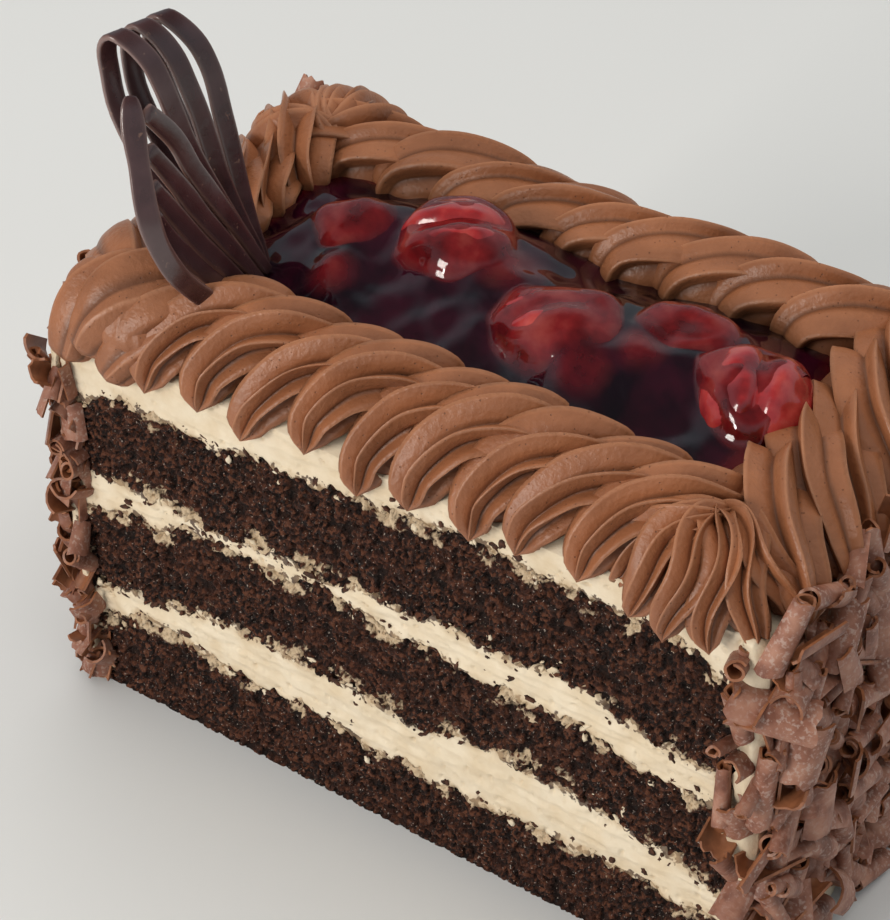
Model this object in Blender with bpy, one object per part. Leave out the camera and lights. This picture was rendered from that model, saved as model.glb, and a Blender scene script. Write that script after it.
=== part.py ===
"""Black forest cake slice: a layered cream cake portion cut from a strip.

Three dark sponges with two fillings of whipped cream stand under a cream top. Both ends are
coated with cream and rolled in milk chocolate curls, the long sides are cut faces. A border of
piped chocolate buttercream runs round the top and holds a pool of cherries in dark gel, and a
two-tier chocolate fan stands in its left corner. The origin is the centre of the bottom face:
X runs along the cut face, -Y is the front, Z is up. Sizes are in metres.
"""
import math
import random

import bpy
import bmesh
from mathutils import Matrix, Vector, noise

# Driving dimensions
LENGTH = 0.126
DEPTH = 0.068
CAKE_TOP = 0.0721
GAP = 0.0003
MERGE = 0.000002
JOIN_SOLVER = "EXACT"
FLATNESS = math.radians(3.5)
SHARP_ANGLE = math.radians(40)
JOINED_SHARP_ANGLE = math.radians(50)
COAT_LEFT = 0.0020
COAT_RIGHT = 0.0035

# Heights of the layer boundaries at even stations from the left end to the right
SPONGE_1_TOP = (0.0150, 0.0185, 0.0164, 0.0162, 0.0148, 0.0140, 0.0153, 0.0146, 0.0139)
SPONGE_2_BASE = (0.0205, 0.0238, 0.0264, 0.0258, 0.0242, 0.0270, 0.0258, 0.0233, 0.0200)
SPONGE_2_TOP = (0.0375, 0.0410, 0.0434, 0.0440, 0.0425, 0.0410, 0.0405, 0.0375, 0.0389)
SPONGE_3_BASE = (0.0465, 0.0462, 0.0452, 0.0462, 0.0477, 0.0483, 0.0485, 0.0452, 0.0440)
SPONGE_3_TOP = (0.0600, 0.0635, 0.0632, 0.0638, 0.0660, 0.0675, 0.0670, 0.0665, 0.0610)
CRUMB_STEP = 0.0012
CRUMB_WAVE = 0.0045
LAYER_CUTS = 24
SPONGE_ROWS = 3
SPONGE_PITS = 0.0010
CREAM_SMEARS = 0.0004
PIT_PITCH = 0.0014
PIT_SIDE_STEP = 9

# Piped border: one strand starts at its inner foot, crosses the crest and ends in a tail that
# hangs over the edge. Each row is (along the side, out from the edge, height, girth).
STRAND_ROUTE = (
    (0.0075, -0.0152, 0.0755, 0.0028),
    (0.0055, -0.0135, 0.0790, 0.0046),
    (0.0010, -0.0102, 0.0804, 0.0054),
    (-0.0040, -0.0058, 0.0792, 0.0052),
    (-0.0072, -0.0010, 0.0752, 0.0042),
    (-0.0080, 0.0018, 0.0700, 0.0022),
)
SMEAR_ROUTE = (
    (0.0040, -0.0165, 0.0745, 0.0030),
    (0.0030, -0.0135, 0.0770, 0.0050),
    (0.0000, -0.0095, 0.0785, 0.0062),
    (-0.0025, -0.0050, 0.0772, 0.0062),
    (-0.0040, -0.0010, 0.0745, 0.0046),
    (-0.0050, 0.0022, 0.0708, 0.0022),
)
# One finger of a corner fan: (distance from the fan's centre, height, girth)
FINGER_ROUTE = (
    (-0.0020, 0.0800, 0.0020),
    (0.0030, 0.0815, 0.0034),
    (0.0075, 0.0795, 0.0036),
    (0.0115, 0.0750, 0.0031),
    (0.0140, 0.0695, 0.0014),
)
STRAND_LOBES = 5
STRAND_RINGS = 6
FINGER_LOBES = 4
FINGER_RINGS = 5
STRAND_GROOVE = 0.30
SMEAR_GROOVE = 0.08
FINGER_GROOVE = 0.22
STRAND_BLUNTNESS = 2.6
STRAND_STEP = 0.02
STRAND_SHIFT = 0.0004
STRAND_SWELL = (0.95, 1.05)
TAIL_DROP = (-0.0008, 0.0014)
BORDER_SEED = 5
FRONT_PITCH = 0.0096
FRONT_FIRST = -0.0340
FRONT_COUNT = 9
SMEAR_PLACES = (-0.0545, -0.0490, -0.0430)
BACK_PITCH = 0.0103
BACK_FIRST = -0.0430
BACK_COUNT = 10
RIGHT_PLACES = (-0.0160, -0.0075, 0.0010, 0.0095, 0.0180)
LEFT_PLACES = (-0.0170, -0.0090, -0.0010, 0.0070, 0.0150, 0.0225)
# Corner fans: (centre x, centre y, first finger's angle, last finger's angle, fingers)
FAN_FRONT_RIGHT = (0.0500, -0.0245, 215, 350, 6)
FAN_BACK_RIGHT = (0.0510, 0.0245, 10, 125, 4)
FAN_BACK_LEFT = (-0.0510, 0.0245, 95, 215, 5)

# Cherry pool and its cherries: (x, y, radius, stretch along x)
POOL_CENTRE = (-0.0002, 0.0)
POOL_HALF_LENGTH = 0.0443
POOL_HALF_WIDTH = 0.0168
POOL_RIM = 0.0775
POOL_CROWN = 0.0035
POOL_LUMP = 0.0045
POOL_LUMP_FALL = 1.2
POOL_SQUARENESS = 4
POOL_SPREAD = 0.55
POOL_SEGMENTS = 22
POOL_RINGS = 8
CHERRIES = (
    (-0.0136, 0.0052, 0.0088, 1.05),
    (-0.0296, 0.0012, 0.0062, 1.00),
    (0.0103, -0.0040, 0.0080, 1.22),
    (0.0272, 0.0052, 0.0072, 1.00),
    (0.0416, -0.0012, 0.0084, 1.00),
)
CHERRY_SEGMENTS = 11
CHERRY_RINGS = 7
CHERRY_DIMPLE = 0.12
DIMPLE_FALL = 9

# Chocolate fan: its leaning plane, then the middle lines of its bands. Each point is
# (towards the front, up the plane, out of the plane).
FAN_FOOT = Vector((-0.0364, -0.0175, 0.0762))
FAN_LEAN = math.radians(13.7)
FAN_THICK = 0.0011
FRONT_RIM = ((0.0100, 0.0408, 0.0002), (0.0112, 0.0390, 0.0008), (0.0123, 0.0353, 0.0010),
             (0.0133, 0.0309, 0.0012), (0.0143, 0.0264, 0.0014), (0.0148, 0.0224, 0.0016),
             (0.0142, 0.0178, 0.0016), (0.0122, 0.0124, 0.0015), (0.0080, 0.0064, 0.0013),
             (0.0032, 0.0011, 0.0011))
FRONT_RIBS = (
    ((0.0099, 0.0386), (0.0051, 0.0317), (0.0030, 0.0254), (0.0001, 0.0183), (-0.0030, 0.0105),
     (-0.0058, 0.0030)),
    ((0.0115, 0.0337), (0.0069, 0.0251), (0.0044, 0.0196), (0.0013, 0.0130), (-0.0020, 0.0065),
     (-0.0044, 0.0014)),
    ((0.0128, 0.0284), (0.0085, 0.0201), (0.0054, 0.0139), (0.0016, 0.0075), (-0.0008, 0.0034),
     (-0.0026, 0.0008)),
    ((0.0138, 0.0238), (0.0110, 0.0177), (0.0075, 0.0122), (0.0039, 0.0066), (0.0016, 0.0030),
     (0.0004, 0.0008)),
)
# The back tier is three loops side by side: up the right leg, over the top, down the left leg
LOOP_RIGHT_LEGS = (
    ((-0.0066, 0.0004, -0.0016), (-0.0060, 0.0060, -0.0017), (-0.0038, 0.0128, -0.0018),
     (-0.0008, 0.0221, -0.0018), (0.0006, 0.0280, -0.0018), (0.0012, 0.0334, -0.0018),
     (0.0017, 0.0379, -0.0019), (0.0022, 0.0418, -0.0024), (0.0030, 0.0450, -0.0040)),
    ((-0.0070, 0.0004, -0.0016), (-0.0067, 0.0060, -0.0017), (-0.0054, 0.0119, -0.0018),
     (-0.0039, 0.0204, -0.0018), (-0.0037, 0.0258, -0.0018), (-0.0035, 0.0310, -0.0018),
     (-0.0030, 0.0356, -0.0019), (-0.0026, 0.0402, -0.0024), (-0.0020, 0.0440, -0.0040)),
    ((-0.0074, 0.0004, -0.0016), (-0.0074, 0.0060, -0.0017), (-0.0072, 0.0128, -0.0018),
     (-0.0077, 0.0237, -0.0018), (-0.0079, 0.0288, -0.0018), (-0.0082, 0.0330, -0.0018),
     (-0.0081, 0.0364, -0.0019), (-0.0075, 0.0402, -0.0024), (-0.0066, 0.0434, -0.0040)),
)
LOOP_LEFT_LEGS = (
    ((0.0030, 0.0449, -0.0039), (0.0038, 0.0466, -0.0062), (0.0036, 0.0446, -0.0088),
     (0.0034, 0.0405, -0.0100), (0.0039, 0.0340, -0.0100), (0.0028, 0.0240, -0.0084),
     (0.0002, 0.0150, -0.0058), (-0.0028, 0.0070, -0.0036), (-0.0052, 0.0004, -0.0030)),
    ((-0.0020, 0.0439, -0.0039), (-0.0013, 0.0458, -0.0062), (-0.0014, 0.0440, -0.0088),
     (-0.0012, 0.0400, -0.0100), (-0.0008, 0.0340, -0.0100), (-0.0016, 0.0240, -0.0084),
     (-0.0030, 0.0150, -0.0058), (-0.0048, 0.0070, -0.0036), (-0.0062, 0.0004, -0.0030)),
    ((-0.0066, 0.0433, -0.0039), (-0.0059, 0.0451, -0.0062), (-0.0061, 0.0436, -0.0088),
     (-0.0062, 0.0400, -0.0100), (-0.0060, 0.0340, -0.0100), (-0.0062, 0.0240, -0.0084),
     (-0.0066, 0.0150, -0.0058), (-0.0070, 0.0070, -0.0036), (-0.0074, 0.0004, -0.0030)),
)
FOOT_PAD = ((-0.0030, 0.0016, -0.0024), (-0.0096, 0.0016, -0.0024))
FOOT_PAD_THICK = 2.2
LOOP_SIDEWAYS = Vector((0.37, 0.93, 0.0))
RIB_WIDTH = 0.0034
RIB_TAPER = (0.80, 1.00, 1.00, 0.85, 0.65, 0.50)
RIB_RISE = (0.0012, 0.0003, 0.0, 0.0, 0.0, 0.0)
RIM_WIDTH = 0.0034
RIM_TAPER = (0.50, 0.90, 1.00, 1.00, 1.00, 1.00, 1.00, 1.00, 0.95, 0.80)
RIM_TURN = (0.75, 0.66)
LOOP_WIDTH = 0.0030
LOOP_TAPER = (0.55, 0.70, 0.85, 1.00, 1.00, 1.00, 1.00, 1.00, 1.00)
FRONT_TIER_OUT = 0.0006
RIM_STATIONS = 14
RIB_STATIONS = 7
RIB_STAGGER = 0.00017
LOOP_STATIONS = 9
PAD_STATIONS = 2
BAND_STEP = 0.01
# Slots that the fan leaves in the border and the gel: middle and size, both (front, up, out)
FAN_SLOTS = (
    ((-0.0030, 0.0030, -0.0006), (0.0078, 0.0170, 0.0180)),
    ((0.0110, 0.0060, 0.0012), (0.0048, 0.0170, 0.0180)),
)

# Chocolate curls on the ends
CURL_ROWS = 9
CURL_COLUMNS = 5
CURL_RADIUS = (0.0024, 0.0036)
CURL_LENGTH = (0.0090, 0.0160)
CURL_SIDES = 5
CURL_TAPER = 0.8
CURL_LIFT = (0.0006, 0.0024)
CURL_SCATTER = 0.0030
CURL_LOWEST = 0.0035
CURL_INSET = 0.0060
CURL_OVERHANG = 0.0018
CURL_STAGGER = 0.0050
CURL_ROW_SCATTER = 0.25
CURL_TIP = 0.25
CURL_CEILING = 0.0683
CURL_SEED = 27
# Curls placed by hand round the front right corner: middle, axis, length, radius
CORNER_CURLS = (
    ((0.0638, -0.0336, 0.0602), (0.85, 0.45, -0.28), 0.0125, 0.0038),
    ((0.0642, -0.0340, 0.0460), (0.05, 0.05, 1.00), 0.0140, 0.0023),
    ((0.0655, -0.0300, 0.0340), (0.10, 0.15, 1.00), 0.0135, 0.0023),
    ((0.0652, -0.0190, 0.0285), (0.00, 0.25, 0.97), 0.0120, 0.0025),
    ((0.0650, -0.0214, 0.0414), (0.45, -0.60, 0.60), 0.0090, 0.0022),
)

SPONGE_COLOUR = (0.038, 0.016, 0.010, 1.0)
SPONGE_ROUGHNESS = 0.85
CREAM_COLOUR = (0.82, 0.73, 0.51, 1.0)
CREAM_ROUGHNESS = 0.55
BUTTERCREAM_COLOUR = (0.27, 0.115, 0.060, 1.0)
BUTTERCREAM_ROUGHNESS = 0.55
CURL_COLOUR = (0.17, 0.080, 0.055, 1.0)
CURL_ROUGHNESS = 0.5
GEL_COLOUR = (0.030, 0.004, 0.008, 1.0)
GEL_ROUGHNESS = 0.08
CHERRY_COLOUR = (0.23, 0.010, 0.012, 1.0)
CHERRY_ROUGHNESS = 0.15
FAN_COLOUR = (0.040, 0.022, 0.022, 1.0)
FAN_ROUGHNESS = 0.3


def clear_scene():
    """Removes the objects of the start-up scene."""
    for thing in list(bpy.data.objects):
        bpy.data.objects.remove(thing, do_unlink=True)


def new_collection(name):
    """A new collection linked to the scene."""
    group = bpy.data.collections.new(name)
    bpy.context.scene.collection.children.link(group)
    return group


def new_material(name, colour, roughness):
    """A plain Principled material."""
    made = bpy.data.materials.new(name)
    made.use_nodes = True
    shader = made.node_tree.nodes["Principled BSDF"]
    shader.inputs["Base Color"].default_value = colour
    shader.inputs["Roughness"].default_value = roughness
    shader.inputs["Metallic"].default_value = 0.0
    made.diffuse_color = colour
    return made


def new_object(name, bm, group, material=None):
    """An object from a finished bmesh, its round faces shaded smooth."""
    bmesh.ops.recalc_face_normals(bm, faces=bm.faces)
    mesh = bpy.data.meshes.new(name)
    bm.to_mesh(mesh)
    bm.free()
    mesh.shade_smooth()
    mesh.set_sharp_from_angle(angle=SHARP_ANGLE)
    thing = bpy.data.objects.new(name, mesh)
    if material:
        mesh.materials.append(material)
    group.objects.link(thing)
    return thing


def spline(rows, t):
    """Point at t, from 0 to 1, on a smooth curve through rows of equal length."""
    last = len(rows) - 1
    place = min(max(t, 0.0), 1.0) * last
    i = min(int(place), last - 1)
    f = place - i
    before, start = rows[max(i - 1, 0)], rows[i]
    end, after = rows[i + 1], rows[min(i + 2, last)]
    return [0.5 * (2 * b + (c - a) * f + (2 * a - 5 * b + 4 * c - d) * f * f
                   + (3 * b - a - 3 * c + d) * f ** 3)
            for a, b, c, d in zip(before, start, end, after)]


def keep_largest(bm):
    """Deletes all but the largest closed shell: loose scraps and the walls of sealed hollows."""
    left = set(bm.faces)
    shells = []
    while left:
        seed = left.pop()
        shell = {seed}
        front = [seed]
        while front:
            for edge in front.pop().edges:
                if len(edge.link_faces) == 2:
                    for face in edge.link_faces:
                        if face not in shell:
                            shell.add(face)
                            front.append(face)
        left -= shell
        shells.append(shell)
    shells.sort(key=len)
    for shell in shells[:-1]:
        bmesh.ops.delete(bm, geom=list(shell), context="FACES")


def apply_boolean(thing, operation, solver, other=None, group=None):
    """Applies one Boolean with an object or a whole collection and cleans the result."""
    modifier = thing.modifiers.new(operation.lower(), "BOOLEAN")
    modifier.operation = operation
    modifier.solver = solver
    if group:
        modifier.operand_type = "COLLECTION"
        modifier.collection = group
    else:
        modifier.object = other
    seen = thing.evaluated_get(bpy.context.evaluated_depsgraph_get())
    mesh = bpy.data.meshes.new_from_object(seen)
    thing.modifiers.remove(modifier)
    bm = bmesh.new()
    bm.from_mesh(mesh)
    bpy.data.meshes.remove(mesh)
    bmesh.ops.remove_doubles(bm, verts=bm.verts, dist=MERGE)
    bmesh.ops.dissolve_degenerate(bm, edges=bm.edges, dist=MERGE)
    keep_largest(bm)
    bmesh.ops.dissolve_limit(bm, angle_limit=FLATNESS, verts=bm.verts, edges=bm.edges)
    bmesh.ops.triangulate(bm, faces=bm.faces)
    bm.to_mesh(thing.data)
    bm.free()


def join(name, pieces, group, material):
    """One solid from overlapping pieces, by one union on a collection."""
    base = pieces[0]
    others = new_collection(name + "_pieces")
    for piece in pieces[1:]:
        group.objects.unlink(piece)
        others.objects.link(piece)
    apply_boolean(base, "UNION", JOIN_SOLVER, group=others)
    for piece in list(others.objects):
        bpy.data.objects.remove(piece, do_unlink=True)
    bpy.data.collections.remove(others)
    base.name = name
    base.data.name = name
    base.data.materials.clear()
    base.data.materials.append(material)
    base.data.shade_smooth()
    base.data.set_sharp_from_angle(angle=JOINED_SHARP_ANGLE)
    return base


def cut_away(thing, centre, size, cutters, turn=0.0):
    """Cuts a box out of a solid; the box stays among the cutters."""
    bm = bmesh.new()
    bmesh.ops.create_cube(bm, size=1.0)
    place = Matrix.Translation(centre) @ Matrix.Rotation(turn, 4, "Y") @ Matrix.Diagonal((*size, 1.0))
    bmesh.ops.transform(bm, matrix=place, verts=bm.verts)
    box = new_object(thing.name + "_cut", bm, cutters)
    box.hide_render = True
    box.display_type = "WIRE"
    apply_boolean(thing, "DIFFERENCE", "EXACT", other=box)
    thing.data.set_sharp_from_angle(angle=JOINED_SHARP_ANGLE)


# Layers

def boundary(heights, x):
    """Height of a layer boundary at x: eased between its stations, with a crumbly step."""
    place = (x / LENGTH + 0.5) * (len(heights) - 1)
    i = min(max(int(place), 0), len(heights) - 2)
    ease = 0.5 - 0.5 * math.cos(math.pi * min(max(place - i, 0.0), 1.0))
    crumb = noise.noise(Vector((x / CRUMB_WAVE, heights[0] * 2 / CRUMB_STEP, 0.5)))
    return heights[i] * (1 - ease) + heights[i + 1] * ease + crumb * CRUMB_STEP


def slice_axis(bm, axis, pieces):
    """Cuts a unit cube into equal pieces along one axis."""
    normal = Vector((0, 0, 0))
    normal[axis] = 1.0
    for k in range(1, pieces):
        bmesh.ops.bisect_plane(bm, geom=bm.verts[:] + bm.edges[:] + bm.faces[:],
                               plane_co=normal * (k / pieces - 0.5), plane_no=normal)


def layer(name, low, high, pits, rows, group, material):
    """One sponge or filling: a box cut into stations, its edges following the boundaries."""
    left = -LENGTH / 2 + COAT_LEFT + GAP / 2
    right = LENGTH / 2 - COAT_RIGHT - GAP / 2
    bm = bmesh.new()
    bmesh.ops.create_cube(bm, size=1.0)
    slice_axis(bm, 0, LAYER_CUTS)
    slice_axis(bm, 2, rows)
    for vert in bm.verts:
        across, side, up = vert.co
        x = left + (across + 0.5) * (right - left)
        base = boundary(low, x) + GAP / 2 if low else 0.0
        top = boundary(high, x) - GAP / 2 if high else CAKE_TOP
        z = base + (up + 0.5) * (top - base)
        pit = 0.5 + 0.5 * noise.noise(Vector((x / PIT_PITCH, side * PIT_SIDE_STEP, z / PIT_PITCH)))
        on_face = (low is None and z < MERGE) or (high is None and z > CAKE_TOP - MERGE)
        y = math.copysign(DEPTH / 2 - (0.0 if on_face else pits * pit), side)
        vert.co = (x, y, z)
    return new_object(name, bm, group, material)


# Piped border

def strand(name, route, lobes, groove, rings, group):
    """One piped strand: a sphere drawn out along a route of (point, girth), its section a star."""
    bm = bmesh.new()
    bmesh.ops.create_uvsphere(bm, u_segments=2 * lobes, v_segments=rings, radius=1.0)
    for vert in bm.verts:
        t = math.acos(max(-1.0, min(1.0, vert.co.z))) / math.pi
        turn = math.atan2(vert.co.y, vert.co.x)
        here = spline(route, t)
        ahead = Vector(spline(route, t + STRAND_STEP)[:3]) - Vector(spline(route, t - STRAND_STEP)[:3])
        tangent = ahead.normalized()
        side = tangent.cross(Vector((0, 0, 1)))
        side = side.normalized() if side.length > 0.05 else Vector((1, 0, 0))
        up = side.cross(tangent)
        blunt = min(1.0, math.sin(math.pi * t) * STRAND_BLUNTNESS) if 0 < t < 1 else 0.0
        star = 1.0 - groove * (0.5 - 0.5 * math.cos(lobes * turn))
        reach = here[3] * blunt * star
        vert.co = Vector(here[:3]) + (side * math.cos(turn) + up * math.sin(turn)) * reach
    return new_object(name, bm, group)


def side_point(side, along, out, height):
    """A point given from the edge of one side; sides run front, right, back, left."""
    reach = (DEPTH, LENGTH)[side % 2] / 2
    return Matrix.Rotation(side * math.pi / 2, 3, "Z") @ Vector((along, -reach - out, height))


def side_strand(side, place, rows, groove, wobble, group):
    """A strand of the border at one place along a side, a little unlike its neighbours."""
    shift = wobble.uniform(-STRAND_SHIFT, STRAND_SHIFT)
    swell = wobble.uniform(*STRAND_SWELL)
    tail = wobble.uniform(*TAIL_DROP)
    route = []
    for k, (along, out, height, girth) in enumerate(rows):
        drop = tail * k / (len(rows) - 1)
        point = side_point(side, place + along + shift, out, height - drop)
        route.append((*point, girth * swell))
    return strand("strand", route, STRAND_LOBES, groove, STRAND_RINGS, group)


def corner_fan(middle_x, middle_y, first, last, count, group):
    """Fingers that spread from one point and hang over a corner."""
    fingers = []
    for k in range(count):
        angle = math.radians(first + (last - first) * k / (count - 1))
        route = []
        for reach, height, girth in FINGER_ROUTE:
            x = middle_x + reach * math.cos(angle)
            y = middle_y + reach * math.sin(angle)
            route.append((x, y, height, girth))
        fingers.append(strand("finger", route, FINGER_LOBES, FINGER_GROOVE, FINGER_RINGS, group))
    return fingers


def border(group, cutters, material):
    """The whole border as one solid ring, cut flat where it lies on the cake."""
    wobble = random.Random(BORDER_SEED)
    pieces = [side_strand(0, place, SMEAR_ROUTE, SMEAR_GROOVE, wobble, group)
              for place in SMEAR_PLACES]
    for k in range(FRONT_COUNT):
        place = FRONT_FIRST + k * FRONT_PITCH
        pieces.append(side_strand(0, place, STRAND_ROUTE, STRAND_GROOVE, wobble, group))
    pieces += corner_fan(*FAN_FRONT_RIGHT, group)
    for place in RIGHT_PLACES:
        pieces.append(side_strand(1, place, STRAND_ROUTE, STRAND_GROOVE, wobble, group))
    pieces += corner_fan(*FAN_BACK_RIGHT, group)
    for k in range(BACK_COUNT):
        place = BACK_FIRST + k * BACK_PITCH
        pieces.append(side_strand(2, place, STRAND_ROUTE, STRAND_GROOVE, wobble, group))
    pieces += corner_fan(*FAN_BACK_LEFT, group)
    for place in LEFT_PLACES:
        pieces.append(side_strand(3, place, STRAND_ROUTE, STRAND_GROOVE, wobble, group))
    ring = join("border", pieces, group, material)
    seat = CAKE_TOP + GAP
    cut_away(ring, Vector((0, 0, seat / 2)), (LENGTH + 2 * GAP, DEPTH + 2 * GAP, seat), cutters)
    for middle, size in FAN_SLOTS:
        cut_away(ring, fan_point(*middle), size, cutters, -FAN_LEAN)
    return ring


def cut_sockets(solid, indices, cutters, material):
    """Cuts sockets a gap larger than the cherries out of what holds them."""
    for index in indices:
        socket = cherry(index, cutters, material, grown=GAP)
        socket.name = "cherry_socket_%d" % (index + 1)
        socket.hide_render = True
        socket.display_type = "WIRE"
        apply_boolean(solid, "DIFFERENCE", "EXACT", other=socket)


# Cherry pool

def pool(group, material):
    """Gel that fills the ring: a flat-bottomed pillow with a rounded outline."""
    bm = bmesh.new()
    bmesh.ops.create_uvsphere(bm, u_segments=POOL_SEGMENTS, v_segments=POOL_RINGS, radius=1.0)
    base = CAKE_TOP + GAP
    for vert in bm.verts:
        turn = math.atan2(vert.co.y, vert.co.x)
        flat = math.hypot(vert.co.x, vert.co.y)
        corner = (abs(math.cos(turn)) ** POOL_SQUARENESS
                  + abs(math.sin(turn)) ** POOL_SQUARENESS) ** (-1 / POOL_SQUARENESS)
        reach = flat ** POOL_SPREAD
        x = POOL_CENTRE[0] + POOL_HALF_LENGTH * corner * reach * math.cos(turn)
        y = POOL_CENTRE[1] + POOL_HALF_WIDTH * corner * reach * math.sin(turn)
        if vert.co.z > 0:
            lump = 0.0
            for cx, cy, radius, stretch in CHERRIES:
                far = math.hypot((x - cx) / stretch, y - cy) / radius
                lump = max(lump, POOL_LUMP * math.exp(-far * far * POOL_LUMP_FALL))
            z = POOL_RIM + POOL_CROWN * (1 - flat * flat) + lump
            z -= (POOL_RIM - base) * (1 - vert.co.z) ** 3
        else:
            z = base
        vert.co = (x, y, z)
    flatten = [face for face in bm.faces if all(abs(v.co.z - base) < MERGE for v in face.verts)]
    bmesh.ops.dissolve_faces(bm, faces=flatten)
    return new_object("cherry_gel", bm, group, material)


def cherry(index, group, material, grown=0.0):
    """One stoned cherry: a ball a little wider than high, with the dimple of its stalk."""
    x, y, radius, stretch = CHERRIES[index]
    bm = bmesh.new()
    bmesh.ops.create_uvsphere(bm, u_segments=CHERRY_SEGMENTS, v_segments=CHERRY_RINGS, radius=1.0)
    size = radius + grown
    for vert in bm.verts:
        dimple = 1.0
        if not grown:
            dimple -= CHERRY_DIMPLE * math.exp(-DIMPLE_FALL * (1 - vert.co.z))
        vert.co = (vert.co.x * size * stretch, vert.co.y * size, vert.co.z * size * dimple)
    centre = Vector((x, y, CAKE_TOP + 2 * GAP + radius))
    bmesh.ops.translate(bm, vec=centre, verts=bm.verts)
    return new_object("cherry_%d" % (index + 1), bm, group, material)


# Chocolate fan

def fan_point(front, up, out):
    """A point of the fan's leaning plane."""
    lean = Vector((-math.sin(FAN_LEAN), 0, math.cos(FAN_LEAN)))
    facing = Vector((math.cos(FAN_LEAN), 0, math.sin(FAN_LEAN)))
    return FAN_FOOT + Vector((0, -front, 0)) + lean * up + facing * out


def band(name, rows, stations, group, facing=None, sideways=None, thick=FAN_THICK):
    """One band of chocolate: a box drawn out along a route of (point, width)."""
    bm = bmesh.new()
    bmesh.ops.create_cube(bm, size=1.0)
    slice_axis(bm, 2, stations)
    for vert in bm.verts:
        t = vert.co.z + 0.5
        here = spline(rows, t)
        ahead = Vector(spline(rows, t + BAND_STEP)[:3]) - Vector(spline(rows, t - BAND_STEP)[:3])
        tangent = ahead.normalized()
        if facing:
            across = tangent.cross(facing).normalized()
        else:
            across = (sideways - tangent * sideways.dot(tangent)).normalized()
        outward = across.cross(tangent)
        vert.co = (Vector(here[:3]) + across * (vert.co.x * here[3])
                   + outward * (vert.co.y * thick))
    return new_object(name, bm, group)


def front_tier(group, material):
    """The fan's front tier: a rim band turned outwards, and four ribs that meet at the foot."""
    facing = fan_point(0, 0, 1) - fan_point(0, 0, 0)
    forwards = fan_point(1, 0, 0) - fan_point(0, 0, 0)
    rim_facing = (facing * RIM_TURN[0] + forwards * RIM_TURN[1]).normalized()
    rim_rows = [(*fan_point(*point), RIM_WIDTH * taper)
                for point, taper in zip(FRONT_RIM, RIM_TAPER)]
    pieces = [band("fan_front", rim_rows, RIM_STATIONS, group, facing=rim_facing)]
    for k, rib in enumerate(FRONT_RIBS):
        out = FRONT_TIER_OUT - k * RIB_STAGGER
        rows = [(*fan_point(front, up, out + rise), RIB_WIDTH * taper)
                for (front, up), taper, rise in zip(rib, RIB_TAPER, RIB_RISE)]
        pieces.append(band("rib", rows, RIB_STATIONS, group, facing=facing))
    return join("fan_front", pieces, group, material)


def back_tier(group, material):
    """The fan's back tier: three loops of one band each, pressed together at the foot."""
    across = LOOP_SIDEWAYS.normalized()
    pad_rows = [(*fan_point(*point), LOOP_WIDTH) for point in FOOT_PAD]
    facing = fan_point(0, 0, 1) - fan_point(0, 0, 0)
    pieces = [band("fan_back", pad_rows, PAD_STATIONS, group, facing=facing,
                   thick=FAN_THICK * FOOT_PAD_THICK)]
    for right_leg, left_leg in zip(LOOP_RIGHT_LEGS, LOOP_LEFT_LEGS):
        rows = [(*fan_point(*point), LOOP_WIDTH * taper)
                for point, taper in zip(right_leg, LOOP_TAPER)]
        pieces.append(band("loop", rows, LOOP_STATIONS, group, sideways=across))
        rows = [(*fan_point(*point), LOOP_WIDTH * taper)
                for point, taper in zip(left_leg, reversed(LOOP_TAPER))]
        pieces.append(band("loop", rows, LOOP_STATIONS, group, sideways=across))
    return join("fan_back", pieces, group, material)


# Coated ends

def curl(place, axis, length, radius, group):
    """One chocolate curl, a short roll a little thicker at one end."""
    bm = bmesh.new()
    bmesh.ops.create_cone(bm, cap_ends=True, segments=CURL_SIDES, radius1=radius,
                          radius2=radius * CURL_TAPER, depth=length)
    turn = Vector((0, 0, 1)).rotation_difference(axis).to_matrix().to_4x4()
    bmesh.ops.transform(bm, matrix=Matrix.Translation(place) @ turn, verts=bm.verts)
    return new_object("curl", bm, group)


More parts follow.
